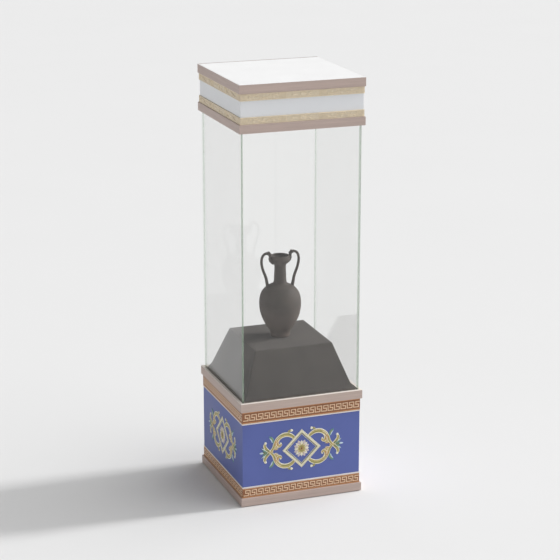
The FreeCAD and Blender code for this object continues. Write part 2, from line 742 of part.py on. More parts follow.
def canopy_upper_rim():
    """The top rim, rebated for the lid; its rear length is cut lower for the hinges and holds the inlet."""
    low = UPPER_RIM_BOTTOM
    high = TOTAL_HEIGHT
    seat = high - LID
    hinge_seat = seat - 3

    def rebated(floor):
        return [
            (RIM_INNER, low),
            (RIM_HALF - EDGE_CHAMFER, low),
            (RIM_HALF, low + EDGE_CHAMFER),
            (RIM_HALF, high - 0.8),
            (RIM_HALF - 0.8, high),
            (LID_HALF + 0.5, high),
            (LID_HALF + 0.5, floor),
            (RIM_INNER, floor),
        ]

    lengths = mitred_frame(rebated(seat), rebated(hinge_seat))
    inlet_hole = box(INLET_X - 14, INLET_X + 14, 250, 310, ELECTRIC_Z - 10, ELECTRIC_Z + 10)
    inlet_recess = box(INLET_X - 18, INLET_X + 18, 297.5, 310, ELECTRIC_Z - 13, ELECTRIC_Z + 13)
    switch_hole = box(SWITCH_X - 9, SWITCH_X + 9, 250, 310, ELECTRIC_Z - 11, ELECTRIC_Z + 11)
    lengths[3] = lengths[3].cut(inlet_hole).cut(inlet_recess).cut(switch_hole)
    return lengths


def ceiling_diffuser():
    half = RIM_INNER - 0.5
    return [box(-half, half, -half, half, CANOPY_BOTTOM + 3, CANOPY_BOTTOM + 3 + DIFFUSER)]


def led_tray():
    """A thin metal tray under the upper rim that carries the lamps below and the driver above."""
    half = GOLD_HALF - 16 - 0.5
    return [box(-half, half, -half, half, UPPER_RIM_BOTTOM - TRAY, UPPER_RIM_BOTTOM)]


def led_boards():
    """Five lamp strips on the underside of the tray."""
    boards = []
    top = UPPER_RIM_BOTTOM - TRAY
    for row in range(5):
        y = -200 + 100 * row
        boards.append(box(-235, 235, y - 6, y + 6, top - 2, top))
    return boards


def led_driver():
    body = box(-80, 80, -25, 25, UPPER_RIM_BOTTOM, UPPER_RIM_BOTTOM + 28)
    return [body.makeChamfer(3, [e for e in body.Edges if abs(e.tangentAt(e.FirstParameter).z) > 0.9])]


def cable(points, radius):
    """A straight-run lead with round turns, laid through its corner points."""
    edges = []
    start = points[0]
    for before, corner, after in zip(points, points[1:], points[2:]):
        into = (corner - before).normalize()
        out = (after - corner).normalize()
        trim = 0.3 * min((corner - before).Length, (after - corner).Length)
        turn_start = corner - into * trim
        turn_end = corner + out * trim
        half_turn = 0.5 * into.getAngle(out)
        bend = trim / math.tan(half_turn)
        towards = (out - into).normalize()
        middle = corner + towards * (bend / math.cos(half_turn) - bend)
        edges.append(Part.LineSegment(start, turn_start).toShape())
        edges.append(Part.Arc(turn_start, middle, turn_end).toShape())
        start = turn_end
    edges.append(Part.LineSegment(start, points[-1]).toShape())
    first = points[1] - points[0]
    ring = Part.Wire(Part.makeCircle(radius, points[0], first))
    return Part.Wire(edges).makePipeShell([ring], True, True)


def wiring():
    """Leads inside the service space: inlet to switch, and switch to driver."""
    z = UPPER_RIM_BOTTOM + 12
    feed_x = SWITCH_X + 6
    link = [VEC(INLET_X, 262, z), VEC(INLET_X, 225, z), VEC(SWITCH_X, 225, z), VEC(SWITCH_X, 262, z)]
    feed = [VEC(feed_x, 262, z), VEC(feed_x, 120, z), VEC(60, 120, z), VEC(60, 25, z)]
    return [cable(link, 2.5), cable(feed, 2.5)]


def power_inlet():
    """A three-pin appliance inlet, flush in the rear of the upper rim."""
    shell = box(INLET_X - 14, INLET_X + 14, 262, 297.5, ELECTRIC_Z - 10, ELECTRIC_Z + 10)
    flange = box(INLET_X - 18, INLET_X + 18, 297.5, RIM_HALF, ELECTRIC_Z - 13, ELECTRIC_Z + 13)
    socket = box(INLET_X - 12, INLET_X + 12, 280, 310, ELECTRIC_Z - 8, ELECTRIC_Z + 8)
    pins = [box(INLET_X + x - 1, INLET_X + x + 1, 278, 294, ELECTRIC_Z + z - 2, ELECTRIC_Z + z + 2)
            for x, z in ((-7, -2), (0, 2), (7, -2))]
    return [fuse([fuse([shell, flange]).cut(socket)] + pins)]


def switch_frame():
    """The fixed frame of the rocker switch."""
    body = box(SWITCH_X - 9, SWITCH_X + 9, 262, RIM_HALF, ELECTRIC_Z - 11, ELECTRIC_Z + 11)
    well = box(SWITCH_X - 7, SWITCH_X + 7, 290, 310, ELECTRIC_Z - 9, ELECTRIC_Z + 9)
    return [body.cut(well)]


ROCKER_TILT = 6.0
ROCKER_Y = 294.5


def switch_rocker():
    """The rocker, tilted to its ON side, 0.4 mm clear of its frame at each cheek."""
    paddle = box(SWITCH_X - 6.6, SWITCH_X + 6.6, ROCKER_Y, RIM_HALF - 1.5, ELECTRIC_Z - 8, ELECTRIC_Z + 8)
    shaft = Part.makeCylinder(2, 13.2, VEC(SWITCH_X - 6.6, ROCKER_Y, ELECTRIC_Z), ALONG_X)
    rocker = fuse([paddle, shaft])
    rocker.rotate(VEC(SWITCH_X, ROCKER_Y, ELECTRIC_Z), ALONG_X, ROCKER_TILT)
    return [rocker]


def canopy_lid():
    """The white service hatch of the light box."""
    return [box(-LID_HALF, LID_HALF, -LID_HALF, LID_REAR, TOTAL_HEIGHT - LID, TOTAL_HEIGHT)]


def knuckle(x, length, bore):
    """One hinge knuckle on the lid's axis."""
    tube = Part.makeCylinder(KNUCKLE_RADIUS, length, VEC(x, LID_AXIS_Y, LID_AXIS_Z), ALONG_X)
    hole = Part.makeCylinder(bore, length + 2, VEC(x - 1, LID_AXIS_Y, LID_AXIS_Z), ALONG_X)
    return tube, hole


def lid_hinge_fixed_leaves():
    """Leaves screwed down in the rear rim, with two knuckles each."""
    leaves = []
    seat = TOTAL_HEIGHT - LID - 3
    for x in HINGE_PLACES:
        plate = box(x, x + HINGE_LENGTH, 266, LID_AXIS_Y + 1.5, seat, seat + 1.3)
        solids = [plate]
        holes = []
        for start in (x, x + 40.3):
            tube, hole = knuckle(start, 19.7, HINGE_PIN_RADIUS)
            web = box(start, start + 19.7, LID_AXIS_Y - 1.5, LID_AXIS_Y + 1.5, seat + 1, LID_AXIS_Z)
            solids += [tube, web]
            holes.append(hole)
        leaves.append(fuse(solids).cut(holes[0]).cut(holes[1]))
    return leaves


def lid_hinge_moving_leaves():
    """Leaves under the lid, with one knuckle each between the fixed ones."""
    leaves = []
    top = TOTAL_HEIGHT - LID
    for x in HINGE_PLACES:
        plate = box(x, x + HINGE_LENGTH, 266, LID_REAR, top - 1.4, top)
        tab = box(x + 20, x + 40, LID_REAR, LID_AXIS_Y, top - 1, top)
        tube, hole = knuckle(x + 20, 20, HINGE_PIN_RADIUS + 0.06)
        leaves.append(fuse([plate, tab, tube]).cut(hole))
    return leaves


def lid_hinge_pins():
    return [Part.makeCylinder(HINGE_PIN_RADIUS, HINGE_LENGTH, VEC(x, LID_AXIS_Y, LID_AXIS_Z), ALONG_X)
            for x in HINGE_PLACES]


def write(node, solids):
    """One STEP file for a node; several separate solids go in as a group."""
    shape = solids[0] if len(solids) == 1 else Part.makeCompound(solids)
    shape.exportStep(f"parts/{node}.step")
    count = len(shape.Solids)
    print(f"{node:24s} {count:2d} solids  valid {shape.isValid()}  volume {shape.Volume / 1000:9.1f} cm3")


NODES = {
    "plinth_moulding": plinth_moulding(),
    "base_board": base_board(),
    "foot_sockets": foot_sockets(),
    "levelling_foot_front_left": levelling_foot(-FOOT_PLACE, -FOOT_PLACE),
    "levelling_foot_front_right": levelling_foot(FOOT_PLACE, -FOOT_PLACE),
    "levelling_foot_rear_left": levelling_foot(-FOOT_PLACE, FOOT_PLACE),
    "levelling_foot_rear_right": levelling_foot(FOOT_PLACE, FOOT_PLACE),
    "front_panel": front_panel(),
    "left_panel": side_panel(-1),
    "right_panel": side_panel(1),
    "rear_rails": rear_rails(),
    "corner_posts": corner_posts(),
    "key_bands": key_bands(),
    "key_band_beads": key_band_beads(),
    "base_cornice": base_cornice(),
    "deck_board": deck_board(),
    "medallion_front": medallion(0),
    "medallion_right": medallion(90),
    "medallion_left": medallion(-90),
    "medallion_rear": medallion(180),
    "drawer_runners": drawer_runners(),
    "drawer_rails": drawer_rails(),
    "drawer_front": drawer_front(),
    "drawer_box": drawer_box(),
    "silica_gel_cassettes": silica_gel_cassettes(),
    "drawer_lock_barrel": drawer_lock_barrel(),
    "drawer_lock_plug": drawer_lock_plug(),
    "front_pane": front_pane(),
    "left_pane": side_pane(-1),
    "right_pane": side_pane(1),
    "corner_bond_beads": corner_bond_beads(),
    "glazing_gaskets": glazing_gaskets(),
    "door_seals": door_seals(),
    "door_pane": door_pane(),
    "door_patches": door_patches(),
    "door_pivot_pins": door_pivot_pins(),
    "pivot_bushes": pivot_bushes(),
    "door_lock_case": door_lock_case(),
    "door_lock_plug": door_lock_plug(),
    "lock_strikes": lock_strikes(),
    "riser": riser(),
    "vase": vase(),
    "canopy_lower_rim": canopy_lower_rim(),
    "gold_bands": gold_bands(),
    "light_band": light_band(),
    "canopy_posts": canopy_posts(),
    "canopy_upper_rim": canopy_upper_rim(),
    "ceiling_diffuser": ceiling_diffuser(),
    "led_tray": led_tray(),
    "led_boards": led_boards(),
    "led_driver": led_driver(),
    "wiring": wiring(),
    "power_inlet": power_inlet(),
    "switch_frame": switch_frame(),
    "switch_rocker": switch_rocker(),
    "canopy_lid": canopy_lid(),
    "lid_hinge_fixed_leaves": lid_hinge_fixed_leaves(),
    "lid_hinge_moving_leaves": lid_hinge_moving_leaves(),
    "lid_hinge_pins": lid_hinge_pins(),
}

os.makedirs("parts", exist_ok=True)
for name, pieces in NODES.items():
    write(name, pieces)
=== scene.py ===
"""Looks of the tower display case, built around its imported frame.

Lengths are in metres in the case's own frame: +Z up, the front face towards -Y.
"""

import math
import random

import bpy
from mathutils import Matrix, Vector


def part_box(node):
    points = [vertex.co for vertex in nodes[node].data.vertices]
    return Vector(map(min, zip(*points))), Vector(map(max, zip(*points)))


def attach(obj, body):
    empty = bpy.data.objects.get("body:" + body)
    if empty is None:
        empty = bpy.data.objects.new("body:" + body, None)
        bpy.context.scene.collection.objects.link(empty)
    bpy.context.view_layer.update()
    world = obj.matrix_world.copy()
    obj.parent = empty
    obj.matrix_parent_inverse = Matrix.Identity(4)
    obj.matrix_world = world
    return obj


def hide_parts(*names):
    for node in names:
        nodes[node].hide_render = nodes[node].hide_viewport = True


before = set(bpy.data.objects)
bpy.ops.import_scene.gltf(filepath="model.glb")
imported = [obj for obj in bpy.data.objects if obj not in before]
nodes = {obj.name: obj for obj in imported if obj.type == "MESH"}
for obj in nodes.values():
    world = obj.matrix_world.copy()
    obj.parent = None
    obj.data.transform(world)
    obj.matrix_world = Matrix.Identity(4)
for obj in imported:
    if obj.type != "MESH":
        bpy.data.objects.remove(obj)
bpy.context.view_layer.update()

MM = 0.001
FRONT, RIGHT, REAR, LEFT = range(4)

# Half widths and heights of the frame's own parts, which the ornament is fitted to.
KEY_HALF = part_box("key_bands")[1].x
PANEL_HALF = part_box("right_panel")[1].x
GOLD_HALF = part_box("gold_bands")[1].x
KEY_BANDS = [
    ("key_ornament_lower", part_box("plinth_moulding")[1].z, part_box("key_band_beads")[0].z),
    ("key_ornament_upper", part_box("key_band_beads")[1].z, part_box("base_cornice")[0].z),
]
GOLD_BANDS = [
    ("frieze_lower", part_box("gold_bands")[0].z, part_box("light_band")[0].z),
    ("frieze_upper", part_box("light_band")[1].z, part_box("gold_bands")[1].z),
]
MEDALLION_Z = sum(corner.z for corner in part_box("medallion_front")) / 2
FOOT_PAD_TOP = 8 * MM
FIXED_LEAF_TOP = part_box("lid_hinge_fixed_leaves")[0].z + 1.3 * MM
VASE_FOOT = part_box("vase")[0].z
# How far up from the foot the painted light on the clay reaches.
FOOT_PAINTED_LIGHT_HEIGHT = 170 * MM

# How far a relief reaches below the face that it stands on, so that no gap shows.
SUNK = -0.3 * MM


# ---------------- materials


def tone(red, green, blue):
    """A screen colour, 0 to 255 each, as the linear colour that a shader takes."""
    linear = []
    for value in (red, green, blue):
        part = value / 255
        linear.append(part / 12.92 if part <= 0.04045 else ((part + 0.055) / 1.055) ** 2.4)
    return (*linear, 1.0)


def grey(value):
    """A neutral linear colour."""
    return (value, value, value, 1.0)


def lighter(colour, factor):
    """The same colour, brighter or darker."""
    return (*(min(1.0, part * factor) for part in colour[:3]), 1.0)


class Paint:
    """One material's node graph, which ends in a Principled shader."""

    def __init__(self, name, colour, roughness, **constants):
        self.material = bpy.data.materials.new(name)
        self.material.use_nodes = True
        self.material.diffuse_color = colour
        self.tree = self.material.node_tree
        self.tree.nodes.clear()
        self.output = self.add("OutputMaterial")
        self.shader = self.add("BsdfPrincipled")
        self.shader.inputs["Base Color"].default_value = colour
        self.shader.inputs["Roughness"].default_value = roughness
        for socket, value in constants.items():
            self.shader.inputs[socket.replace("_", " ")].default_value = value
        self.tree.links.new(self.shader.outputs[0], self.output.inputs["Surface"])

    def add(self, kind, **settings):
        """A new node, with its settings."""
        node = self.tree.nodes.new("ShaderNode" + kind)
        for key, value in settings.items():
            setattr(node, key, value)
        return node

    def feed(self, node, socket, value):
        """Links a socket to another node's output, or sets its value."""
        if isinstance(value, bpy.types.NodeSocket):
            self.tree.links.new(value, node.inputs[socket])
        else:
            node.inputs[socket].default_value = value

    def place(self):
        """The point on the object, in metres."""
        return self.add("TexCoord").outputs["Object"]

    def face_direction(self):
        """The direction that the surface faces, fixed to the object."""
        return self.add("TexCoord").outputs["Normal"]

    def fed(self, kind, inputs, **settings):
        """A new node with its inputs fed, by socket name or number."""
        node = self.add(kind, **settings)
        for socket, value in inputs.items():
            self.feed(node, socket, value)
        return node

    def split(self, vector):
        return self.fed("SeparateXYZ", {0: vector}).outputs

    def stretch(self, vector, x, y, z):
        return self.fed("Mapping", {"Vector": vector, "Scale": (x, y, z)}).outputs[0]

    def math(self, operation, first, second=0.0, third=0.0):
        return self.fed("Math", {0: first, 1: second, 2: third}, operation=operation).outputs[0]

    def noise(self, vector, scale, detail=3.0, roughness=0.55):
        inputs = {"Vector": vector, "Scale": scale, "Detail": detail, "Roughness": roughness}
        return self.fed("TexNoise", inputs).outputs["Fac"]

    def spread(self, value, low, high, start=0.3, end=0.7):
        """The value's range from start to end, moved to the range from low to high."""
        inputs = {"Value": value, "From Min": start, "From Max": end, "To Min": low, "To Max": high}
        return self.fed("MapRange", inputs).outputs[0]

    def blend(self, factor, first, second, kind="RGBA"):
        """A mix of two colours, or of two vectors."""
        first_place, second_place, result = {"RGBA": (6, 7, 2), "VECTOR": (4, 5, 1)}[kind]
        inputs = {0: factor, first_place: first, second_place: second}
        return self.fed("Mix", inputs, data_type=kind).outputs[result]

    def shades(self, value, colour, dark, pale):
        """The colour, from a darker to a lighter shade of it as the value rises."""
        return self.blend(self.spread(value, 0, 1), lighter(colour, dark), lighter(colour, pale))

    def join(self, share, first, second):
        """A mix of two shaders."""
        return self.fed("MixShader", {0: share, 1: first.outputs[0], 2: second.outputs[0]})

    def bump(self, height, depth, strength=1.0, under=None):
        inputs = {"Height": height, "Distance": depth, "Strength": strength}
        if under is not None:
            inputs["Normal"] = under
        return self.fed("Bump", inputs).outputs[0]

    def finish(self, colour=None, roughness=None, normal=None):
        """Feeds the shader with what is given, and returns the material."""
        for socket, value in (("Base Color", colour), ("Roughness", roughness), ("Normal", normal)):
            if value is not None:
                self.feed(self.shader, socket, value)
        return self.material

    def show(self, shader):
        """Ends the graph in another shader than the Principled one, and returns the material."""
        self.feed(self.output, "Surface", shader.outputs[0])
        return self.material


def satin_paint(name, colour, roughness=0.4, drift=0.06, grain=900.0, depth=0.00003, **constants):
    """A painted or moulded surface: faint drift in tone, fine texture, uneven gloss."""
    paint = Paint(name, colour, roughness, **constants)
    place = paint.place()
    cloud = paint.noise(place, 9.0)
    fine = paint.noise(place, grain, 2.0)
    shades = paint.shades(cloud, colour, 1 - drift, 1 + drift)
    uneven = paint.spread(cloud, roughness - 0.06, roughness + 0.06)
    return paint.finish(shades, uneven, paint.bump(fine, depth))


def veneer(name, colour, top=None):
    """Wood whose grain runs along each side of a square frame. Its top may have a colour of its own: a real
    paint colour, or a paler tone that is painted highlight.
    """
    paint = Paint(name, colour, 0.45)
    place = paint.place()
    x, y, _ = paint.split(place)
    on_side = paint.math("GREATER_THAN", paint.math("ABSOLUTE", x), paint.math("ABSOLUTE", y))
    front_grain = paint.stretch(place, 2.4, 150, 150)
    side_grain = paint.stretch(place, 150, 2.4, 150)
    grain = paint.blend(on_side, front_grain, side_grain, "VECTOR")
    broad = paint.noise(grain, 0.55, 3.0)
    fine = paint.noise(grain, 3.6, 4.0, 0.7)
    body = paint.blend(paint.spread(broad, 0, 1, 0.25, 0.75), lighter(colour, 0.91), lighter(colour, 1.09))
    lines = paint.blend(paint.spread(fine, 0.0, 0.55, 0.42, 0.75), body, lighter(colour, 0.72))
    # A given top colour covers the upward faces: real white paint on the upper rim, and on the cornice a
    # paler tone that is painted highlight.
    if top is not None:
        up = paint.split(paint.face_direction())[2]
        lines = paint.blend(paint.math("GREATER_THAN", up, 0.6), lines, top)
    return paint.finish(lines, paint.spread(fine, 0.37, 0.57), paint.bump(fine, 0.00008))


def plywood(name, colour):
    """Sanded birch ply: long soft grain on the faces and thin dark glue lines on the edges."""
    paint = Paint(name, colour, 0.55)
    place = paint.place()
    grain = paint.noise(paint.stretch(place, 5, 60, 60), 1.6, 5.0, 0.65)
    inputs = {"Vector": place, "Scale": 110.0, "Distortion": 0.4}
    layers = paint.fed("TexWave", inputs, bands_direction="Z", wave_profile="SIN").outputs["Fac"]
    up = paint.math("ABSOLUTE", paint.split(paint.face_direction())[2])
    edge = paint.math("LESS_THAN", up, 0.5)
    lines = paint.math("MULTIPLY", paint.spread(layers, 0.0, 0.5, 0.75, 0.95), edge)
    face = paint.shades(grain, colour, 0.8, 1.15)
    return paint.finish(paint.blend(lines, face, lighter(colour, 0.45)), normal=paint.bump(grain, 0.00012))


def brushed(name, colour, roughness=0.3, lines=(4, 400, 400)):
    """Metal with a fine brushed or turned finish and a few dull patches."""
    paint = Paint(name, colour, roughness, Metallic=1.0)
    place = paint.place()
    brush = paint.noise(paint.stretch(place, *lines), 2.0, 3.0)
    shades = paint.shades(paint.noise(place, 22.0), colour, 0.85, 1.08)
    uneven = paint.spread(brush, roughness - 0.08, roughness + 0.14)
    return paint.finish(shades, uneven, paint.bump(brush, 0.00002))


def lacquer(name, colour):
    """Deep satin lacquer with a slight orange peel."""
    paint = Paint(name, colour, 0.42, Specular_IOR_Level=0.18)
    place = paint.place()
    cloud = paint.noise(place, 3.2, 4.0)
    speck = paint.noise(place, 60.0, 4.0, 0.7)
    body = paint.shades(cloud, colour, 0.93, 1.06)
    specked = paint.blend(paint.spread(speck, 0, 0.3, 0.55, 0.8), body, lighter(colour, 0.86))
    peel = paint.bump(paint.noise(place, 260.0, 1.5), 0.00005)
    return paint.finish(specked, paint.spread(cloud, 0.36, 0.5), peel)


def enamel(name, colour, dark):
    """Hand-painted relief: brushed variation in tone and a little tooth."""
    paint = Paint(name, colour, 0.42)
    stroke = paint.noise(paint.place(), 130.0, 4.0, 0.6)
    shades = paint.shades(stroke, colour, dark, 1.12)
    return paint.finish(shades, paint.spread(stroke, 0.34, 0.52), paint.bump(stroke, 0.00015))


def woven(name, colour):
    """Plain-woven cloth: fine threads along all three axes, a faint sheen and broad patches of wear."""
    paint = Paint(name, colour, 0.9, Specular_IOR_Level=0.2, Sheen_Weight=0.06, Sheen_Roughness=0.5)
    place = paint.place()
    weave = None
    for axis in ("X", "Y", "Z"):
        inputs = {"Vector": place, "Scale": 350.0, "Distortion": 0.6, "Detail Scale": 4.0}
        wave = paint.fed("TexWave", inputs, bands_direction=axis, wave_profile="SIN").outputs["Fac"]
        weave = wave if weave is None else paint.math("ADD", weave, wave)
    weave = paint.math("MULTIPLY", weave, 1 / 3)
    patch = paint.noise(place, 8.0, 2.5, 0.5)
    slub = paint.noise(paint.stretch(place, 30, 30, 240), 1.0, 3.0)
    body = paint.shades(patch, colour, 0.82, 1.2)
    thread = paint.blend(paint.spread(weave, 0.12, 0.0, 0.2, 0.6), body, lighter(colour, 0.7))
    cloth = paint.blend(paint.spread(slub, 0, 0.06, 0.55, 0.75), thread, lighter(colour, 1.3))
    return paint.finish(cloth, normal=paint.bump(weave, 0.00001, 0.4))


def fired_clay(name, colour):
    """Matt dark clay: throwing lines, mottling from the kiln, fine grit, and painted light that makes it
    paler towards the foot.
    """
    paint = Paint(name, colour, 0.7, Specular_IOR_Level=0.25)
    place = paint.place()
    mottle = paint.noise(place, 14.0, 5.0, 0.6)
    grit = paint.noise(place, 700.0, 2.0)
    turning = paint.noise(paint.stretch(place, 3, 3, 260), 1.0, 2.0)
    body = paint.shades(mottle, colour, 0.75, 1.3)
    # Painted light: the clay turns paler and warmer towards the foot, to lift the shade near the bottom.
    foot_painted_light = paint.spread(paint.split(place)[2], 1.0, 0.0, VASE_FOOT, VASE_FOOT + FOOT_PAINTED_LIGHT_HEIGHT)
    body = paint.blend(foot_painted_light, body, (colour[0] * 1.95, colour[1] * 1.8, colour[2] * 1.7, 1))
    gritty = paint.blend(paint.spread(grit, 0, 0.35, 0.6, 0.8), body, lighter(colour, 1.7))
    ridges = paint.bump(turning, 0.00035)
    return paint.finish(gritty, paint.spread(mottle, 0.64, 0.82), paint.bump(grit, 0.00006, 1.0, ridges))


def gilding(name, colour, depth):
    """Rubbed antique gold over a pale ground."""
    paint = Paint(name, colour, 0.46, Metallic=0.15)
    rub = paint.noise(paint.place(), 70.0, 5.0, 0.65)
    shades = paint.shades(rub, colour, 1 - depth, 1 + depth)
    return paint.finish(shades, paint.spread(rub, 0.36, 0.6), paint.bump(rub, 0.0001))


def opal(name, colour):
    """Frosted white acrylic."""
    paint = Paint(name, colour, 0.38)
    place = paint.place()
    frost = paint.bump(paint.noise(place, 1500.0, 2.0), 0.00001)
    cloud = paint.noise(place, 4.0)
    return paint.finish(paint.shades(cloud, colour, 0.985, 1.01), paint.spread(cloud, 0.33, 0.43), frost)


def pane_glass(name, thin_axis, edge_colour, edge_share):
    """Clear glass with green-tinted ends, whose tone is given per pane and is partly painted shade. The
    pane is thin along X for an axis of 0, and along Y for 1.
    """
    paint = Paint(name, edge_colour, 0.12)
    facing = paint.add("LayerWeight").outputs["Facing"]
    glancing = paint.math("POWER", facing, 5.0)
    mirror = paint.math("MULTIPLY_ADD", glancing, 0.9, 0.042)
    dust = paint.spread(paint.noise(paint.place(), 5.0, 4.0), 0.0, 0.006, 0.45, 0.8)
    clear = paint.fed("BsdfTransparent", {"Color": (0.998, 0.999, 0.997, 1)})
    gloss = paint.fed("BsdfGlossy", {"Roughness": 0.02})
    film = paint.fed("BsdfDiffuse", {"Color": (0.8, 0.83, 0.81, 1)})
    green = paint.fed("BsdfTransparent", {"Color": (0.965, 0.99, 0.97, 1)})
    dusty = paint.join(dust, paint.join(mirror, clear, gloss), film)
    # The ends: green glass tint, in an edge colour that on the front pane is darkened as painted shade.
    end = paint.join(edge_share, green, paint.shader)
    across = paint.math("ABSOLUTE", paint.split(paint.face_direction())[thin_axis])
    return paint.show(paint.join(paint.math("LESS_THAN", across, 0.5), dusty, end))


def clear_strip(name, colour, share):
    """A clear or cloudy plastic strip: part of it is seen through."""
    paint = Paint(name, colour, 0.25)
    paint.finish(paint.shades(paint.noise(paint.place(), 40.0), colour, 0.9, 1.1))
    through = paint.fed("BsdfTransparent", {"Color": (0.97, 0.985, 0.97, 1)})
    return paint.show(paint.join(share, through, paint.shader))


def rubber_foot(name, rubber, zinc):
    """Rubber up to the top of the pad, and plated metal above it."""
    paint = Paint(name, rubber, 0.6)
    place = paint.place()
    past = paint.math("GREATER_THAN", paint.split(place)[2], FOOT_PAD_TOP)
    cloud = paint.noise(place, 120.0, 3.0)
    pad = paint.shades(cloud, rubber, 0.85, 1.2)
    plate = paint.shades(cloud, zinc, 0.85, 1.08)
    paint.feed(paint.shader, "Metallic", past)
    tooth = paint.bump(paint.noise(place, 600.0, 2.0), 0.00004)
    return paint.finish(paint.blend(past, pad, plate), paint.spread(past, 0.62, 0.32, 0, 1), tooth)


def floor_paint():
    """A pale seamless studio floor."""
    colour = grey(0.757)
    paint = Paint("studio_floor", colour, 0.8)
    return paint.finish(paint.shades(paint.noise(paint.place(), 0.9, 3.0), colour, 0.996, 1.004))


# The painted colours of the ornament: material, colour, and how dark its brush strokes get.
ENAMELS = {
    "key_ground": ("key_ground_brown", (152, 100, 66), 0.88),
    "key_line": ("key_line_cream", (240, 208, 174), 0.88),
    "key_border": ("key_border_orange", (214, 156, 106), 0.86),
    "cream": ("relief_cream", (242, 238, 214), 0.9),
    "gold": ("relief_gold", (205, 187, 124), 0.78),
    "orange": ("relief_orange_gold", (204, 160, 104), 0.76),
    "olive": ("relief_olive", (160, 157, 98), 0.76),
    "moss": ("relief_moss_green", (126, 136, 104), 0.76),
    "umber": ("relief_umber", (112, 88, 66), 0.8),
    "teal": ("relief_teal", (106, 158, 144), 0.8),
    "ice": ("relief_pale_blue", (206, 226, 236), 0.88),
    "lilac": ("relief_lilac", (212, 196, 198), 0.85),
    "ink": ("relief_dark_green", (66, 72, 50), 0.8),
}


def make_materials():
    """Every material of the case, by a plain name."""
    painted = {key: enamel(name, tone(*colour), dark) for key, (name, colour, dark) in ENAMELS.items()}
    dull = {"Specular_IOR_Level": 0.2}
    return painted | {
        "rim": veneer("rose_taupe_veneer", tone(198, 178, 169)),
        # Painted highlight: the cornice's upward faces are painted paler, where its ledge catches the
        # light.
        "cornice": veneer("rose_taupe_veneer_painted_highlight_top", tone(201, 181, 171), top=tone(236, 227, 219)),
        "top_rim": veneer("rose_taupe_veneer_white_top", tone(198, 178, 169), top=grey(0.88)),
        "carcass": plywood("birch_plywood", (0.62, 0.5, 0.36, 1)),
        "zinc": brushed("zinc_plate", (0.62, 0.63, 0.65, 1), 0.34),
        "foot": rubber_foot("foot_rubber_and_zinc", (0.04, 0.04, 0.042, 1), (0.62, 0.63, 0.65, 1)),
        "blue": lacquer("blue_lacquer", tone(102, 115, 179)),
        "bead": satin_paint("off_white_bead", tone(236, 228, 222), 0.4),
        "cassette": satin_paint("white_cassette_plastic", (0.8, 0.8, 0.78, 1), 0.5),
        "chrome": brushed("satin_chrome", (0.75, 0.75, 0.77, 1), 0.22, (300, 300, 4)),
        # One green glass: the front pane's ends are painted darker than the side and door panes' ends, real
        # tint with painted shade.
        "front_glass": pane_glass("pane_glass_front", 1, tone(112, 152, 116), 0.55),
        "side_glass": pane_glass("pane_glass_side", 0, tone(214, 238, 214), 0.2),
        "door_glass": pane_glass("pane_glass_door", 1, tone(222, 236, 224), 0.15),
        "bond": clear_strip("corner_bond", tone(176, 200, 176), 0.3),
        "gasket": satin_paint("taupe_gasket", (0.3, 0.28, 0.26, 1), 0.75, 0.1, 400.0, 0.00005),
        "clear_seal": clear_strip("clear_seal", tone(228, 234, 228), 0.2),
        "bronze": brushed("turned_bronze", (0.6, 0.42, 0.2, 1), 0.3, (200, 200, 8)),
        "cloth": woven("riser_cloth", tone(77, 72, 68)),
        "clay": fired_clay("dark_fired_clay", tone(76, 69, 64)),
        "gold_band": gilding("antique_gold_ground", tone(224, 209, 184), 0.07),
        "gold_relief": gilding("antique_gold_relief", tone(236, 222, 197), 0.09),
        "opal": opal("opal_acrylic", tone(235, 237, 240)),
        "tray": satin_paint("white_coated_sheet", grey(0.8), 0.35),
        "led_board": satin_paint("lamp_board_white", (0.86, 0.87, 0.84, 1), 0.45),
        "phosphor": satin_paint("lamp_phosphor", (0.9, 0.72, 0.2, 1), 0.3),
        "driver": satin_paint("driver_case", (0.84, 0.84, 0.85, 1), 0.45),
        "lead": satin_paint("black_lead", grey(0.05), 0.6),
        "black": satin_paint("black_plastic", (0.025, 0.025, 0.027, 1), 0.35),
        "label": satin_paint("blank_grey_label", (0.55, 0.56, 0.58, 1), 0.5),
        "gel": satin_paint("silica_gel_beads", (0.75, 0.42, 0.16, 1), 0.3, 0.35, 220.0, 0.0012),
        "lid": satin_paint("white_acrylic_lid", grey(0.88), 0.5, 0.008, 300.0, 0.00001, **dull),
    }


LOOKS = make_materials()

# The frame's nodes that each material is for.
NODE_LOOKS = {
    "rim": "plinth_moulding canopy_lower_rim",
    "cornice": "base_cornice",
    "top_rim": "canopy_upper_rim",
    "carcass": "base_board rear_rails corner_posts deck_board drawer_box canopy_posts",
    "zinc": "foot_sockets drawer_runners drawer_rails lid_hinge_pins",
    "foot": " ".join(name for name in nodes if name.startswith("levelling_foot")),
    "blue": "front_panel left_panel right_panel drawer_front",
    "key_ground": "key_bands",
    "bead": "key_band_beads",
    "cream": "medallion_front medallion_right medallion_left medallion_rear",
    "cassette": "silica_gel_cassettes",
    "chrome": "drawer_lock_barrel drawer_lock_plug door_patches door_pivot_pins door_lock_case "
    "door_lock_plug lock_strikes lid_hinge_fixed_leaves lid_hinge_moving_leaves",
    "front_glass": "front_pane",
    "side_glass": "left_pane right_pane",
    "door_glass": "door_pane",
    "bond": "corner_bond_beads",
    "gasket": "glazing_gaskets",
    "clear_seal": "door_seals",
    "bronze": "pivot_bushes",
    "cloth": "riser",
    "clay": "vase",
    "gold_band": "gold_bands",
    "opal": "light_band ceiling_diffuser",
    "tray": "led_tray",
    "led_board": "led_boards",
    "driver": "led_driver",
    "lead": "wiring",
    "black": "power_inlet switch_frame switch_rocker",
    "lid": "canopy_lid",
}


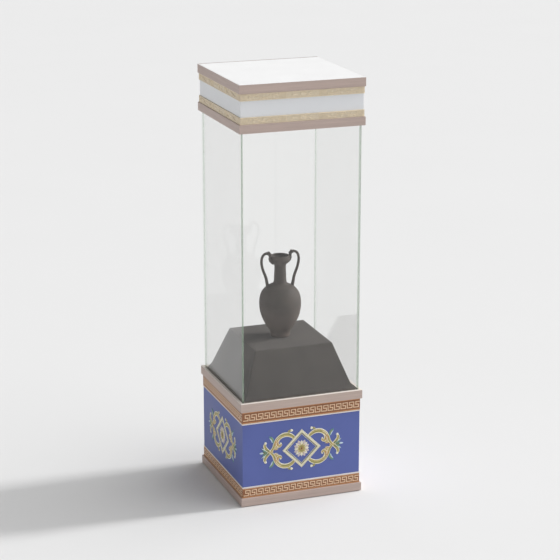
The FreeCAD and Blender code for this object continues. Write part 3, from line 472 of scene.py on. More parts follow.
def dress_nodes():
    """Gives every part of the frame its material."""
    for look, names in NODE_LOOKS.items():
        for name in names.split():
            slots = nodes[name].material_slots
            if not slots:
                nodes[name].data.materials.append(LOOKS[look])
            for slot in slots:
                slot.material = LOOKS[look]


# ---------------- mesh tools


def between_rings(rings, size, closed=True):
    """Faces between rings of points that follow each other, each with the same number of points."""
    faces = []
    for ring in range(rings - 1):
        for index in range(size if closed else size - 1):
            here = ring * size + index
            beside = ring * size + (index + 1) % size
            faces.append((here, beside, beside + size, here + size))
    return faces


def caps(rings, size):
    """The flat faces that close the first and the last ring."""
    last = (rings - 1) * size
    return [tuple(reversed(range(size))), tuple(range(last, last + size))]


class Relief:
    """Faces of one mesh with their materials, often in the plane of a face: across, up, and out of it."""

    def __init__(self):
        self.points = []
        self.faces = []
        self.looks = []
        self.used = []

    def look(self, name):
        if name not in self.used:
            self.used.append(name)
        return self.used.index(name)

    def add(self, points, faces, looks):
        """Adds faces by index into the given points. looks is one name, or a name for each face."""
        start = len(self.points)
        self.points.extend(Vector(point) for point in points)
        self.faces.extend([start + index for index in face] for face in faces)
        names = [looks] * len(faces) if isinstance(looks, str) else looks
        self.looks.extend(self.look(name) for name in names)

    def place(self, other, matrix):
        """Adds a copy of another relief, moved by a matrix."""
        names = [other.used[look] for look in other.looks]
        self.add([matrix @ point for point in other.points], other.faces, names)

    def mesh(self, name, smooth_below):
        """The mesh, with edges kept sharp that turn by more than an angle in degrees."""
        mesh = bpy.data.meshes.new(name)
        mesh.from_pydata(self.points, [], self.faces)
        for look in self.used:
            mesh.materials.append(LOOKS[look])
        mesh.polygons.foreach_set("material_index", self.looks)
        mesh.polygons.foreach_set("use_smooth", [True] * len(self.faces))
        mesh.update()
        mesh.set_sharp_from_angle(angle=math.radians(smooth_below))
        return mesh


def link(name, relief, body, matrix=None, smooth_below=40.0):
    """Puts a relief in the scene as a piece that rides on a body."""
    mesh = relief.mesh(name, smooth_below)
    if matrix is not None:
        mesh.transform(matrix)
    piece = bpy.data.objects.new(name, mesh)
    bpy.context.scene.collection.objects.link(piece)
    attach(piece, body)
    return piece


def face_matrix(side, outward, height):
    """Takes the plane of a relief to one side of the square plan."""
    upright = Matrix(((1, 0, 0, 0), (0, 0, -1, 0), (0, 1, 0, 0), (0, 0, 0, 1)))
    out = Matrix.Translation((0, -outward, height))
    return Matrix.Rotation(side * math.pi / 2, 4, "Z") @ out @ upright


def heading_at(angle):
    """The direction at an angle in the plane of a face."""
    return Vector((math.cos(angle), math.sin(angle)))


def smooth_path(corners, steps):
    """A smooth curve through the corner points (Catmull-Rom)."""
    ends = [corners[0] * 2 - corners[1], *corners, corners[-1] * 2 - corners[-2]]
    path = []
    for index in range(1, len(ends) - 2):
        before, here, after, later = ends[index - 1 : index + 3]
        for step in range(steps):
            t = step / steps
            path.append(
                (
                    here * 2
                    + (after - before) * t
                    + (before * 2 - here * 5 + after * 4 - later) * t * t
                    + (here * 3 - before - after * 3 + later) * t * t * t
                )
                / 2
            )
    path.append(ends[-2])
    return path


def eased(values, count):
    """The values, spread evenly over a number of points."""
    result = []
    for index in range(count):
        place = index / (count - 1) * (len(values) - 1)
        low = min(int(place), len(values) - 2)
        result.append(values[low] + (values[low + 1] - values[low]) * (place - low))
    return result


def ribbon(relief, points, size, looks, under, end=None):
    """A strip through rows of points. looks has a material for each face of a row."""
    rows = len(points) // size
    faces = []
    names = []
    for row in range(rows - 1):
        low = row * size
        for index in range(low, low + size - 1):
            faces.append((index, index + size, index + size + 1, index + 1))
        faces.append((low, low + size - 1, low + 2 * size - 1, low + size))
        names += [*looks, under]
    if end is not None:
        last = (rows - 1) * size
        faces.append(tuple(range(size)))
        faces.append(tuple(last + index for index in reversed(range(size))))
        names += [end, end]
    relief.add(points, faces, names)


def sweep(relief, path, half_widths, profile, looks):
    """A closed strip along a flat path. The profile gives (across, height), from -1 to 1 across it."""
    points = []
    count = len(path)
    for index, point in enumerate(path):
        before = (point - path[index - 1]).normalized() if index > 0 else None
        after = (path[index + 1] - point).normalized() if index < count - 1 else None
        heading = ((before or after) + (after or before)).normalized()
        normal = Vector((-heading.y, heading.x))
        mitre = 1.0
        if before and after:
            mitre = 1 / max(0.45, heading.dot(after))
        width = half_widths[index] if isinstance(half_widths, list) else half_widths
        for across, height in profile:
            spot = point + normal * (across * width * mitre)
            points.append((spot.x, spot.y, height))
    size = len(profile)
    each = [looks] * (size - 1) if isinstance(looks, str) else looks
    ribbon(relief, points, size, each, each[0], each[len(each) // 2])


def leaf(relief, base, tip, half_width, height, looks, bend=0.0):
    """A pointed leaf or petal with a crease down its middle. looks is (edge, middle)."""
    base = Vector(base)
    tip = Vector(tip)
    run = tip - base
    side = Vector((-run.y, run.x)).normalized()
    steps = 9
    across = (-1.0, -0.62, 0.0, 0.62, 1.0)
    points = []
    for index in range(steps + 1):
        t = index / steps
        width = half_width * math.sin(math.pi * min(1.0, 0.06 + 0.94 * t) ** 0.85)
        centre = base + run * t + side * (bend * math.sin(math.pi * t))
        dome = height * (0.35 + 0.65 * math.sin(math.pi * (0.15 + 0.75 * t)))
        for place in across:
            spot = centre + side * (place * width)
            rise = SUNK if abs(place) == 1.0 else dome * (0.72 if place == 0.0 else 1.0)
            points.append((spot.x, spot.y, rise))
    edge, middle = looks
    ribbon(relief, points, len(across), [edge, middle, middle, edge], edge, edge)


def boss(relief, centre, radius, height, look, lobes=0):
    """A low round or lobed button."""
    rings = 5
    sides = 20
    points = []
    for ring in range(rings):
        angle = ring / rings * math.pi / 2
        for side in range(sides):
            turn = side / sides * math.tau
            swell = 1 + (0.12 * math.cos(lobes * turn) if lobes else 0)
            reach = radius * swell * math.cos(angle)
            spot_x = centre[0] + reach * math.cos(turn)
            spot_y = centre[1] + reach * math.sin(turn)
            points.append((spot_x, spot_y, SUNK if ring == 0 else height * math.sin(angle)))
    points.append((centre[0], centre[1], height))
    faces = between_rings(rings, sides)
    top = (rings - 1) * sides
    for side in range(sides):
        faces.append((top + side, top + (side + 1) % sides, len(points) - 1))
    faces.append(tuple(reversed(range(sides))))
    relief.add(points, faces, look)


def both_halves(half):
    """A profile from its left half: the half itself, and its mirror image without the middle point."""
    return half + [(-across, rise) for across, rise in reversed(half) if across]


FLAT_LINE = both_halves([(-1.0, SUNK), (-0.86, 0.0006), (-0.7, 0.0008)])


def scaled_profile(profile, height):
    """A profile with its heights multiplied."""
    return [(across, rise if rise < 0 else rise * height) for across, rise in profile]


# ---------------- key bands


def key_line(relief, low, high):
    """A running key along one face, with a border strip above and below."""
    half = KEY_HALF
    keys = 18
    margin = 2 * MM
    pitch = (2 * half - 2 * margin) / keys
    stroke = 4.4 * MM
    height = 31 * MM if high - low > 50 * MM else 29 * MM
    bottom = (low + high - height) / 2 + stroke / 2
    rise = height - stroke
    path = []
    for key in range(keys):
        start = -half + margin + key * pitch + stroke / 2
        for across, up in ((0, 0), (0.74, 0), (0.74, 0.5), (0.32, 0.5), (0.32, 1), (1, 1)):
            path.append(Vector((start + across * pitch, bottom + up * rise)))
    path[-1].x = half - margin
    sweep(relief, path, stroke / 2, FLAT_LINE, "key_line")
    edge = 1.5 * MM
    for height_of_strip, width in ((low + 3.2 * MM, 1.9 * MM), (high - 3.2 * MM, 1.9 * MM)):
        strip = [Vector((-half + edge, height_of_strip)), Vector((half - edge, height_of_strip))]
        sweep(relief, strip, width, FLAT_LINE, "key_border")


def make_bands(draw, half, bands):
    """A piece for each band: its ornament is drawn once and put on all four faces."""
    for name, low, high in bands:
        one = Relief()
        draw(one, low, high)
        whole = Relief()
        for side in (FRONT, RIGHT, REAR, LEFT):
            whole.place(one, face_matrix(side, half, 0))
        link(name, whole, "case")


# ---------------- medallions

SCROLL_PROFILE = both_halves(
    [(-1.0, SUNK), (-0.95, 0.72), (-0.84, 1.0), (-0.66, 0.82), (-0.5, 0.42), (0.0, 0.58)]
)
SCROLL_LOOKS = ["cream", "cream", "cream", "gold", "olive", "gold", "gold", "cream", "cream", "cream"]
STEM_LOOKS = ["cream", "cream", "cream", "orange", "gold", "gold", "orange", "cream", "cream", "cream"]


def mirrored(points, flip_x, flip_y):
    return [Vector((x * flip_x * MM, y * flip_y * MM)) for x, y in points]


def quarter_of_medallion(relief, flip_x, flip_y):
    """One scroll with its inner curl, leaves and bud. The flips put it in one of the four quarters."""

    def at(x, y):
        return mirrored([(x, y)], flip_x, flip_y)[0]

    def swept(corners, half_widths, height, looks):
        path = smooth_path(mirrored(corners, flip_x, flip_y), 7)
        widths = [width * MM for width in eased(half_widths, len(path))]
        sweep(relief, path, widths, scaled_profile(SCROLL_PROFILE, height), looks)

    def sprig(base, tip, half_width, height, looks, bend=0.0):
        leaf(relief, at(*base), at(*tip), half_width * MM, height, looks, bend * MM * flip_x * flip_y)

    over = flip_x * flip_y > 0
    arch = [(36, 56), (49, 68), (69, 77), (93, 76), (116, 63), (131, 42), (139, 21), (151, 5)]
    arch += [(165, -8), (177, -20), (183, -34), (180, -46)]
    arch_widths = [7.5, 9.8, 11.6, 11.6, 10.4, 8.6, 7.2, 6.6, 7.6, 8.6, 7.6, 5.2]
    swept(arch, arch_widths, 0.0024 if over else 0.0020, SCROLL_LOOKS)
    boss(relief, at(179, -47), 6.4 * MM, 0.0027, "cream")
    sprig((129, 60), (126, 14), 11.0, 0.0021, ("gold", "orange"), -4)
    curl = [(101, 70), (113, 60), (121, 46), (119, 33), (110, 26), (103, 30), (103, 37)]
    swept(curl, [5.0, 7.6, 8.6, 8.2, 7.2, 5.6, 4.4], 0.0027, STEM_LOOKS)
    boss(relief, at(104, 38), 4.4 * MM, 0.0028, "cream")
    sprig((137, 22), (108, 20), 5.6, 0.0026, ("cream", "gold"), 3)
    sprig((141, 14), (117, 10), 4.4, 0.0025, ("cream", "orange"), 1)
    sprig((139, 32), (127, 60), 4.6, 0.0029, ("gold", "orange"), 3)
    sprig((138, 42), (163, 80), 7.4, 0.0016, ("teal", "teal"), 5)
    sprig((145, 46), (161, 72), 3.6, 0.0024, ("ice", "ice"), 3)
    sprig((141, 50), (148, 78), 4.2, 0.0019, ("teal", "olive"), -3)
    sprig((66, 80), (54, 100), 6.4, 0.0023, ("gold", "olive"), -3)
    sprig((62, 80), (68, 97), 4.0, 0.0021, ("cream", "olive"), 2)
    boss(relief, at(50, 95), 6.8 * MM, 0.0025, "cream", lobes=3)
    sprig((158, 4), (196, 26), 6.6, 0.0019, ("moss", "moss"), -3)
    sprig((180, 13), (200, 25), 3.0, 0.0024, ("ice", "ice"))


def diamond_ring(relief, half, profile, width, looks):
    """A mitred square frame, standing on its corner."""
    corners = [Vector((0, half)), Vector((half, 0)), Vector((0, -half)), Vector((-half, 0))]
    for index in range(4):
        here = corners[index]
        after = corners[(index + 1) % 4]
        heading = (after - here).normalized()
        outward = Vector((-heading.y, heading.x))
        points = []
        for end, sign in ((here, 1), (after, -1)):
            for across, height in profile:
                spot = end + outward * (across * width) - heading * (across * width * sign)
                points.append((spot.x, spot.y, height))
        size = len(profile)
        each = [looks] * (size - 1) if isinstance(looks, str) else looks
        ribbon(relief, points, size, each, "cream")


def rosette(relief):
    """A double flower in the middle of the diamond."""
    for count, inner, outer, width, height, looks, turn in (
        (8, 12, 43, 10.0, 0.0016, ("cream", "lilac"), 0.5),
        (8, 10, 40, 8.5, 0.0020, ("lilac", "cream"), 0.0),
        (12, 8, 29, 5.4, 0.0024, ("cream", "gold"), 0.5),
        (12, 5, 20, 3.8, 0.0027, ("gold", "olive"), 0.0),
        (8, 3, 12, 3.0, 0.0029, ("gold", "orange"), 0.5),
    ):
        for petal in range(count):
            angle = (petal + turn) / count * math.tau
            direction = heading_at(angle)
            reach = outer * (1.04 if abs(direction.y) > 0.5 else 0.95)
            leaf(relief, direction * inner * MM, direction * reach * MM, width * MM, height, looks)
    boss(relief, (0, 0), 5.6 * MM, 0.003, "umber", lobes=8)


PALMETTE = [
    (0, 36, 7.0, ("moss", "moss")),
    (28, 34, 5.4, ("moss", "teal")),
    (-28, 34, 5.4, ("moss", "teal")),
]
FRAME_PROFILE = both_halves([(-1.0, SUNK), (-0.92, 0.0022), (-0.62, 0.0029), (-0.42, 0.0023)])
FRAME_LOOKS = ["cream", "cream", "gold", "cream", "gold", "cream", "cream"]
THIN_PROFILE = both_halves([(-1.0, SUNK), (-0.6, 1.0)])


def make_medallion_mesh():
    """The whole relief, in the plane of its panel."""
    relief = Relief()
    for flip_x, flip_y in ((1, -1), (-1, 1), (1, 1), (-1, -1)):
        quarter_of_medallion(relief, flip_x, flip_y)
    for side in (-1, 1):
        for degrees, reach, width, looks in PALMETTE:
            angle = math.radians(degrees)
            base = Vector((166 * side * MM, 0))
            tip = base + heading_at(angle) * Vector((side, 1)) * reach * MM
            leaf(relief, base, tip, width * MM, 0.0022, looks)
        leaf(relief, (188 * side * MM, 0), (210 * side * MM, 0), 5.0 * MM, 0.0026, ("ice", "ice"))
        leaf(relief, (140 * side * MM, 0), (172 * side * MM, 0), 6.4 * MM, 0.0028, ("orange", "gold"))
    diamond_ring(relief, 86.8 * MM, FRAME_PROFILE, 6.0 * MM, FRAME_LOOKS)
    diamond_ring(relief, 76.6 * MM, scaled_profile(THIN_PROFILE, 0.0008), 1.5 * MM, "ink")
    diamond_ring(relief, 72.6 * MM, scaled_profile(THIN_PROFILE, 0.0014), 1.1 * MM, "cream")
    rosette(relief)
    return relief


def make_medallions():
    """A relief on each of the four faces. The rear one is on the climate drawer."""
    relief = make_medallion_mesh()
    for side, name, body in (
        (FRONT, "front", "case"),
        (RIGHT, "right", "case"),
        (REAR, "rear", "climate_drawer"),
        (LEFT, "left", "case"),
    ):
        matrix = face_matrix(side, PANEL_HALF, MEDALLION_Z)
        piece = link("relief_" + name, relief, body, matrix)
        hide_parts("medallion_" + name)


# ---------------- gold bands


def frieze(relief, low, high):
    """A low frieze: a scrolling vine with leaves, fluted blocks and a flower in the middle."""
    middle = (low + high) / 2
    gold = "gold_relief"
    border = scaled_profile(FLAT_LINE, 1.6)
    flute = scaled_profile(FLAT_LINE, 1.7)

    def at(x, y):
        return Vector((x * MM, middle + y * MM))

    def petal(base, tip, half_width, height, bend=0.0):
        leaf(relief, base, tip, half_width * MM, height, (gold, gold), bend * MM)

    rim = 2.2 * MM
    end = GOLD_HALF - 1.5 * MM
    for height in (low + rim, high - rim):
        sweep(relief, [Vector((-end, height)), Vector((end, height))], 1.3 * MM, border, gold)
    bars = 6
    for start, stop in ((-288, -260), (-110, -80), (80, 110), (260, 288)):
        for bar in range(bars + 1):
            across = (start + (stop - start) * bar / bars) * MM
            upright = [Vector((across, low + 5 * MM)), Vector((across, high - 5 * MM))]
            sweep(relief, upright, 1.2 * MM, flute, gold)
    vine = scaled_profile(SCROLL_PROFILE, 0.0016)
    waves = 3
    steps = 60
    for start, stop, sign in ((-256, -114, 1), (114, 256, -1)):
        path = []
        for step in range(steps + 1):
            t = step / steps
            path.append(at(start + (stop - start) * t, sign * 6.5 * math.sin(t * waves * math.pi)))
        sweep(relief, path, 1.7 * MM, vine, gold)
        for wave in range(waves):
            across = start + (stop - start) * (wave + 0.5) / waves
            crest = sign * (1 if wave % 2 == 0 else -1)
            hollow = at(across, -crest * 3.2)
            boss(relief, hollow, 3.4 * MM, 0.0017, gold, lobes=5)
            for turn in (-62, -22, 22, 62):
                petal(hollow, hollow + heading_at(math.radians(90 * -crest + turn)) * 8.5 * MM, 2.2, 0.0015)
            for side in (-1, 1):
                root = at(across + side * 12, crest * 5)
                petal(root, at(across + side * 20, crest * 9.5), 2.4, 0.0015, side)
    for side in (-56, 56):
        for up in (-1, 1):
            petal(at(side * 0.45, 0), at(side, up * 7), 3.2, 0.0016, up * 3)
    for index in range(10):
        angle = index / 10 * math.tau
        petal(at(0, 0), at(math.cos(angle) * 19, math.sin(angle) * 11.5), 3.0, 0.0018)
    boss(relief, at(0, 0), 3.6 * MM, 0.0022, gold, lobes=6)


# ---------------- riser

RISER_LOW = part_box("riser")[0]
RISER_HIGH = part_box("riser")[1]
RISER_TOP_HALF = 190.6 * MM
RISER_KINK_HALF = 259.5 * MM
RISER_KINK_RISE = 21.5 * MM
RISER_WALL = 12 * MM


def rounded_square(half, radius, arc_steps, edge_steps):
    """Points round a square with soft corners, anticlockwise from the low end of its right side."""
    points = []
    for side in range(4):
        turn = Matrix.Rotation(side * math.pi / 2, 2)
        reach = half - radius
        for step in range(edge_steps):
            points.append(turn @ Vector((half, -reach + 2 * reach * step / edge_steps)))
        for step in range(arc_steps):
            angle = step / arc_steps * math.pi / 2
            corner = (reach + radius * math.cos(angle), reach + radius * math.sin(angle))
            points.append(turn @ Vector(corner))
    return points


def riser_levels(low, kink, top):
    """The riser's outline from its inner ceiling, down, out and up to its top.

    Each level has its half width, its height, its corner radius in millimetres, and its slack.
    """
    inner_low = RISER_KINK_HALF - RISER_WALL
    levels = [
        (RISER_TOP_HALF - RISER_WALL, top - RISER_WALL, 2.0, 0.0),
        (inner_low, kink, 2.0, 0.0),
        (inner_low, low + 0.2 * MM, 2.0, 0.0),
        (RISER_HIGH.x - 0.2 * MM, low + 0.2 * MM, 3.0, 0.0),
        (RISER_HIGH.x - 5 * MM, low + 4.5 * MM, 3.5, 0.0),
        (RISER_KINK_HALF + 5 * MM, low + 13 * MM, 4.5, 0.0),
        (RISER_KINK_HALF + 0.5 * MM, kink, 5.0, 0.0),
    ]
    steps = 14
    for step in range(1, steps):
        t = step / steps
        half = RISER_KINK_HALF + (RISER_TOP_HALF - RISER_KINK_HALF) * t
        height = kink + (top - 2.5 * MM - kink) * t
        levels.append((half, height, 5.0 - 1.5 * t, 1.1 * MM * math.sin(math.pi * t)))
    levels.append((RISER_TOP_HALF, top - 2.2 * MM, 3.4, 0.0))
    levels.append((RISER_TOP_HALF - 0.8 * MM, top - 0.8 * MM, 3.0, 0.0))
    levels.append((RISER_TOP_HALF - 2.4 * MM, top - 0.1 * MM, 2.6, 0.0))
    for share in (0.9, 0.7, 0.45, 0.2):
        levels.append((RISER_TOP_HALF * share, top, 2.4, 0.0))
    return levels


def make_riser():
    """The cloth-covered riser: a hollow truncated pyramid whose cloth flares out over the deck."""
    random.seed(7)
    low = RISER_LOW.z
    top = RISER_HIGH.z
    rear = RISER_HIGH.y - 0.3 * MM
    levels = riser_levels(low, low + RISER_KINK_RISE, top)
    waves = []
    for _ in range(6):
        waves.append((random.uniform(5, 12), random.uniform(0, math.tau), random.uniform(0.2, 0.5)))
    points = []
    for half, height, radius, slack in levels:
        ring = rounded_square(half, radius * MM, 5, 30)
        for spot in ring:
            run = max(abs(spot.x), abs(spot.y))
            along = min(abs(spot.x), abs(spot.y)) / run
            place = (spot.x + spot.y * 1.3) * 3
            wave = sum(share * math.sin(pitch * place + phase) for pitch, phase, share in waves)
            pull = 1 - slack * (1 - along * along) * (0.7 + 0.3 * wave) / half
            points.append((spot.x * pull, min(spot.y * pull, rear), height))
    size = len(points) // len(levels)
    bare_levels = 2
    looks = ["carcass"] * (bare_levels * size) + ["cloth"] * ((len(levels) - 1 - bare_levels) * size)
    relief = Relief()
    faces = between_rings(len(levels), size) + caps(len(levels), size)
    relief.add(points, faces, looks + ["carcass", "cloth"])
    piece = link("riser_cover", relief, "riser_platform", smooth_below=35.0)
    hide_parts("riser")


# ---------------- amphora

# Radius and height above the foot, in millimetres, from the foot up the outside and down the inside.
FOOT_OUTLINE = [(40, 0), (44.5, 1.2), (46.4, 5), (46.5, 12), (48.5, 22), (55, 36)]
BODY_OUTLINE = [(66, 51), (79, 76), (90, 102), (96.5, 130), (99, 158), (97.5, 184), (91, 208), (80, 226)]
NECK_OUTLINE = [(65, 241), (48, 250), (36, 257), (31, 264), (29.4, 276), (28.4, 300), (27.2, 330)]
MOUTH_OUTLINE = [(27.5, 344), (30, 352), (35, 358), (41, 366), (45, 375), (45.6, 383), (44.6, 389)]
LIP_OUTLINE = [(43, 392.5), (41.5, 393.4)]
OUTSIDE = FOOT_OUTLINE + BODY_OUTLINE + NECK_OUTLINE + MOUTH_OUTLINE + LIP_OUTLINE
INSIDE = [(38.5, 392.8), (38.6, 383), (34, 371), (24, 358), (20.4, 342), (21, 300), (24, 268), (50, 243)]
INSIDE += [(80, 212), (91, 160), (84, 110), (62, 68), (40, 36), (0, 28)]


def lathe(relief, outline, sides, base, look):
    """Turns an outline, given as (radius, height) points, about the vertical centre line."""
    points = []
    rings = []
    for radius, height in outline:
        count = sides if radius > 0 else 1
        rings.append((len(points), count))
        for side in range(count):
            angle = side / sides * math.tau
            points.append((radius * math.cos(angle), radius * math.sin(angle), base + height))
    faces = []
    for (low, low_count), (high, high_count) in zip(rings, rings[1:]):
        for side in range(sides):
            after = (side + 1) % sides
            corners = [low + side % low_count, low + after % low_count]
            corners += [high + after % high_count, high + side % high_count]
            faces.append(tuple(dict.fromkeys(corners)))
    relief.add(points, faces, look)


def tube(relief, path, radii, sides, look):
    """A round tube along a path in the XZ plane, closed at both ends."""
    points = []
    for index, point in enumerate(path):
        before = path[max(0, index - 1)]
        after = path[min(len(path) - 1, index + 1)]
        heading = (after - before).normalized()
        out = Vector((heading.z, 0, -heading.x))
        for side in range(sides):
            angle = side / sides * math.tau
            ring = out * math.cos(angle) + Vector((0, 1, 0)) * math.sin(angle)
            points.append(point + ring * radii[index])
    faces = [(low, above, past, beside) for low, beside, past, above in between_rings(len(path), sides)]
    faces += [tuple(reversed(face)) for face in caps(len(path), sides)]
    relief.add(points, faces, look)


def bead(relief, centre, radii, look):
    """A rounded lump."""
    rings = 8
    sides = 14
    points = []
    for ring in range(1, rings):
        angle = ring / rings * math.pi - math.pi / 2
        reach = math.cos(angle)
        for side in range(sides):
            turn = side / sides * math.tau
            offset = Vector((reach * math.cos(turn), reach * math.sin(turn), math.sin(angle)))
            points.append(centre + Vector(part * radius for part, radius in zip(offset, radii)))
    points.append(centre - Vector((0, 0, radii[2])))
    points.append(centre + Vector((0, 0, radii[2])))
    faces = between_rings(rings - 1, sides)
    top = (rings - 2) * sides
    for side in range(sides):
        after = (side + 1) % sides
        faces.append((len(points) - 2, after, side))
        faces.append((top + side, top + after, len(points) - 1))
    relief.add(points, faces, look)


def amphora_handle(relief, side):
    """A handle from the shoulder up over the lip, with a small knotted head that grips the mouth."""
    knots = [(60, 240), (65.5, 262), (69.5, 284), (77, 306), (85.5, 328), (91, 350), (93, 370)]
    knots += [(90, 388), (82, 401), (70, 406.5), (58, 404), (50, 397)]
    corners = [Vector((x * side * MM, 0, VASE_FOOT + z * MM)) for x, z in knots]
    path = smooth_path(corners, 6)
    radii = eased([8.6, 7.4, 6.8, 6.6, 6.4, 6.3, 6.2, 6.1, 6.1, 6.2, 6.8, 7.4], len(path))
    tube(relief, path, [radius * MM for radius in radii], 16, "clay")
    lumps = [(65, 410, 4.8), (56, 409, 6.4), (50, 401, 7.4), (49.5, 390, 7.8), (50.5, 379, 7.4)]
    lumps += [(48, 369, 6.8), (42, 361, 5.8), (36, 355, 4.8)]
    for x, z, radius in lumps:
        centre = Vector((x * side * MM, 0, VASE_FOOT + z * MM))
        bead(relief, centre, [radius * MM, radius * 1.25 * MM, radius * MM], "clay")
    for turn in (-1, 1):
        eye = Vector((56 * side * MM, turn * 7.0 * MM, VASE_FOOT + 412 * MM))
        bead(relief, eye, [2.8 * MM] * 3, "clay")


def make_amphora():
    """The two-handled amphora, hollow inside."""
    relief = Relief()
    outer = [Vector(point) * MM for point in OUTSIDE]
    inner = [Vector(point) * MM for point in INSIDE]
    outline = [Vector((0, 0)), *smooth_path(outer, 4), *smooth_path(inner, 5)]
    lathe(relief, outline, 96, VASE_FOOT + 0.1 * MM, "clay")
    for side in (-1, 1):
        amphora_handle(relief, side)
    piece = link("amphora", relief, "exhibit_vase", smooth_below=50.0)
    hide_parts("vase")


# ---------------- fittings


UP = (0, 0, 1)


def cap_screw(relief, centre, out, radius, rise, look):
    """A round screw head with a hexagonal socket, standing on a plate and facing along out."""
    sides = 24
    rings = [(radius, -0.1 * MM, 0), (radius, rise * 0.8, 0), (radius * 0.88, rise, 0)]
    rings += [(radius * 0.55, rise, 1), (radius * 0.55, rise * 0.3, 1)]
    turn = Vector(out).to_track_quat("Z", "Y").to_matrix()
    points = []
    for reach, height, socket in rings:
        for side in range(sides):
            angle = side / sides * math.tau
            flat = math.cos(math.pi / 6) / math.cos(angle % (math.pi / 3) - math.pi / 6)
            size = reach * flat if socket else reach
            spot = Vector((size * math.cos(angle), size * math.sin(angle), height))
            points.append(Vector(centre) + turn @ spot)
    relief.add(points, between_rings(len(rings), sides) + caps(len(rings), sides), look)


def block(relief, low, high, look, bevel=0.3 * MM, down=False):
    """A small box with bevelled edges on its upper side, or on its lower side when it hangs down."""
    levels = [(low[2], 0.0), (high[2] - bevel, 0.0), (high[2], bevel)]
    if down:
        levels = [(low[2], bevel), (low[2] + bevel, 0.0), (high[2], 0.0)]
    points = []
    for height, inset in levels:
        points.append((low[0] + inset, low[1] + inset, height))
        points.append((high[0] - inset, low[1] + inset, height))
        points.append((high[0] - inset, high[1] - inset, height))
        points.append((low[0] + inset, high[1] - inset, height))
    relief.add(points, between_rings(3, 4) + caps(3, 4), look)


def make_door_screws():
    """Socket screws that clamp the patches and the lock case on the glass door, outside and inside."""
    relief = Relief()
    low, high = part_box("door_patches")
    case_low, case_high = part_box("door_lock_case")
    places = []
    for height in (low.z + 32 * MM, high.z - 32 * MM):
        places += [(low.x + 14 * MM, height, 5 * MM), (high.x - 16 * MM, height, 5 * MM)]
    for across in (case_low.x + 9 * MM, case_high.x - 9 * MM):
        places.append((across, case_high.z - 9 * MM, 3.6 * MM))
    for across, height, radius in places:
        cap_screw(relief, (across, high.y, height), (0, 1, 0), radius, 2.4 * MM, "chrome")
        cap_screw(relief, (across, low.y, height), (0, -1, 0), radius * 0.8, 1.2 * MM, "chrome")
    link("door_screws", relief, "access_door")


def make_hinge_screws():
    """Flush screws in the fixed leaves of the lid's hinges, low enough to pass under the moving leaves."""
    relief = Relief()
    low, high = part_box("lid_hinge_fixed_leaves")
    leaf_length = 60 * MM
    for start in (low.x, high.x - leaf_length):
        for along in (10 * MM, 30 * MM, 50 * MM):
            centre = (start + along, low.y + 10 * MM, FIXED_LEAF_TOP)
            cap_screw(relief, centre, UP, 3.2 * MM, 0.15 * MM, "zinc")
    link("hinge_screws", relief, "case")


def make_tray_screws():
    """Pan-head screws along the edges of the lamp tray."""
    relief = Relief()
    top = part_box("led_tray")[1].z
    reach = 250 * MM
    for share in (-0.85, -0.3, 0.3, 0.85):
        along = share * reach
        for spot in ((along, reach), (along, -reach), (reach, along), (-reach, along)):
            cap_screw(relief, (*spot, top), UP, 3.6 * MM, 1.8 * MM, "zinc")
    link("tray_screws", relief, "case")


def make_lamp_chips():
    """Rows of lamp chips under the five lamp boards."""
    relief = Relief()
    low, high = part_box("led_boards")
    rows = 5
    chips = 24
    for row in range(rows):
        y = low.y + 6 * MM + row * (high.y - low.y - 12 * MM) / (rows - 1)
        for chip in range(chips):
            x = low.x + (chip + 0.5) * (high.x - low.x) / chips
            centre = Vector((x, y, low.z))
            for look, size, top in (("led_board", (2.5, 1.5, 0.8), 0), ("phosphor", (1.7, 1.0, 1.1), -0.7)):
                half = Vector(size) * MM
                upper = centre + Vector((half.x, half.y, top * MM))
                block(relief, centre - half, upper, look, 0.2 * MM, True)
    link("lamp_chips", relief, "case")


def make_driver_fittings():
    """Cooling ribs, a blank label and two screwed terminal covers on top of the lamp driver."""
    relief = Relief()
    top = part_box("led_driver")[1].z - 0.1 * MM
    reach = 20 * MM
    label = Vector((32, 15, 0)) * MM
    block(relief, (-label.x, -label.y, top), (label.x, label.y, top + 0.4 * MM), "label", 0.15 * MM)
    for side in (-1, 1):
        for rib in range(5):
            x = side * (37 + 4 * rib) * MM
            block(relief, (x - 0.8 * MM, -reach, top), (x + 0.8 * MM, reach, top + 1.6 * MM), "driver")
        near, far = sorted((side * 59 * MM, side * 77 * MM))
        block(relief, (near, -reach, top), (far, reach, top + 2.4 * MM), "driver", 0.8 * MM)
        for y in (-12 * MM, 12 * MM):
            cap_screw(relief, (side * 68 * MM, y, top + 2.4 * MM), UP, 3.0 * MM, 1.4 * MM, "zinc")
    link("driver_fittings", relief, "case")


def make_cassette_tops():
    """Louvres over the gel in the two cassettes of the climate drawer."""
    random.seed(11)
    relief = Relief()
    low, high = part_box("silica_gel_cassettes")
    rim = 8 * MM
    cassette_width = 195 * MM
    floor = high.z - 2 * MM
    for left in (low.x, high.x - cassette_width):
        x0 = left + rim
        x1 = left + cassette_width - rim
        y0 = low.y + rim
        y1 = high.y - rim
        columns = 30
        rows = 60
        points = []
        for row in range(rows + 1):
            for column in range(columns + 1):
                height = floor + random.uniform(0.1, 0.8) * MM
                points.append((x0 + (x1 - x0) * column / columns, y0 + (y1 - y0) * row / rows, height))
        relief.add(points, between_rings(rows + 1, columns + 1, closed=False), "gel")
        slats = 26
        for slat in range(slats):
            y = y0 + (y1 - y0) * (slat + 0.5) / slats
            top = high.z - 0.2 * MM
            block(relief, (x0, y - 2 * MM, floor), (x1, y + 2 * MM, top), "cassette", 0.5 * MM)
        for x in (x0 + (x1 - x0) / 3, x0 + (x1 - x0) * 2 / 3):
            block(relief, (x - 2 * MM, y0, floor), (x + 2 * MM, y1, high.z), "cassette", 0.5 * MM)
    link("cassette_tops", relief, "climate_drawer")


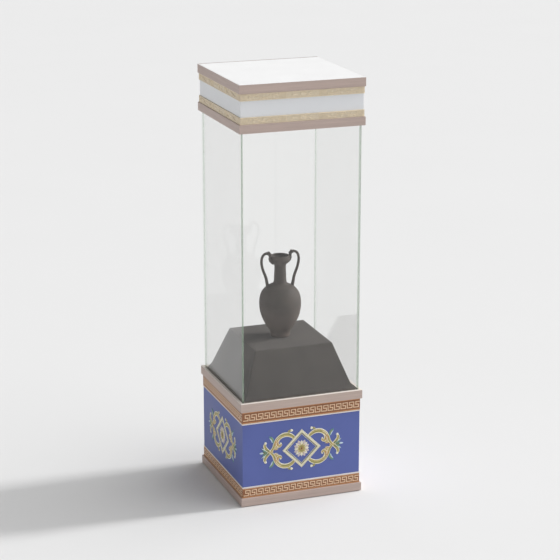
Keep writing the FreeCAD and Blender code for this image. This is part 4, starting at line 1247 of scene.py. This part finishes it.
def make_inlet_pins():
    """Plated sleeves on the three pins of the appliance inlet."""
    relief = Relief()
    low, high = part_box("power_inlet")
    middle = (low + high) / 2
    socket_floor = 279.5 * MM
    sleeve = Relief()
    block(sleeve, (-1.2 * MM, -2.2 * MM, 0), (1.2 * MM, 2.2 * MM, 15 * MM), "chrome", 0.8 * MM)
    for x, z in ((-7, -2), (0, 2), (7, -2)):
        place = Matrix.Translation((middle.x + x * MM, socket_floor, middle.z + z * MM))
        relief.place(sleeve, place @ Matrix.Rotation(-math.pi / 2, 4, "X"))
    link("inlet_pins", relief, "case")


# ---------------- studio


def make_camera():
    """The camera stands in front, to the left and above, and looks along its own axis."""
    data = bpy.data.cameras.new("camera")
    data.lens = 120.1
    data.sensor_width = 36.0
    data.clip_end = 200.0
    camera = bpy.data.objects.new("camera", data)
    camera.location = (-2.9023, -7.9207, 3.4443)
    camera.rotation_euler = (math.radians(90 - 16.21), 0, math.radians(-20.12))
    bpy.context.scene.collection.objects.link(camera)
    bpy.context.scene.camera = camera


def make_studio():
    """A pale floor, an even soft sky, a low lamp from the right and a broad one from above."""
    floor = bpy.data.meshes.new("studio_floor")
    reach = 90.0
    corners = [(-reach, -reach, 0), (reach, -reach, 0), (reach, reach, 0), (-reach, reach, 0)]
    floor.from_pydata(corners, [], [(0, 1, 2, 3)])
    floor.materials.append(floor_paint())
    stage = bpy.data.objects.new("studio_floor", floor)
    bpy.context.scene.collection.objects.link(stage)
    world = bpy.data.worlds.new("soft_sky")
    world.use_nodes = True
    sky = world.node_tree.nodes["Background"]
    sky.inputs["Color"].default_value = grey(0.36)
    sky.inputs["Strength"].default_value = 1.0
    bpy.context.scene.world = world
    for name, energy, spread, towards in (
        ("low_lamp", 2.8, 8, (-1.0, 0.035, -0.455)),
        ("broad_lamp", 1.56, 70, (-0.6, 0.14, -0.79)),
    ):
        lamp = bpy.data.lights.new(name, "SUN")
        lamp.energy = energy
        lamp.angle = math.radians(spread)
        light = bpy.data.objects.new(name, lamp)
        light.rotation_euler = Vector(towards).to_track_quat("-Z", "Y").to_euler()
        bpy.context.scene.collection.objects.link(light)
    bpy.context.scene.view_settings.view_transform = "Standard"


make_camera()
make_studio()
dress_nodes()
make_bands(key_line, KEY_HALF, KEY_BANDS)
make_medallions()
make_bands(frieze, GOLD_HALF, GOLD_BANDS)
make_riser()
make_amphora()
make_door_screws()
make_hinge_screws()
make_tray_screws()
make_lamp_chips()
make_driver_fittings()
make_cassette_tops()
make_inlet_pins()
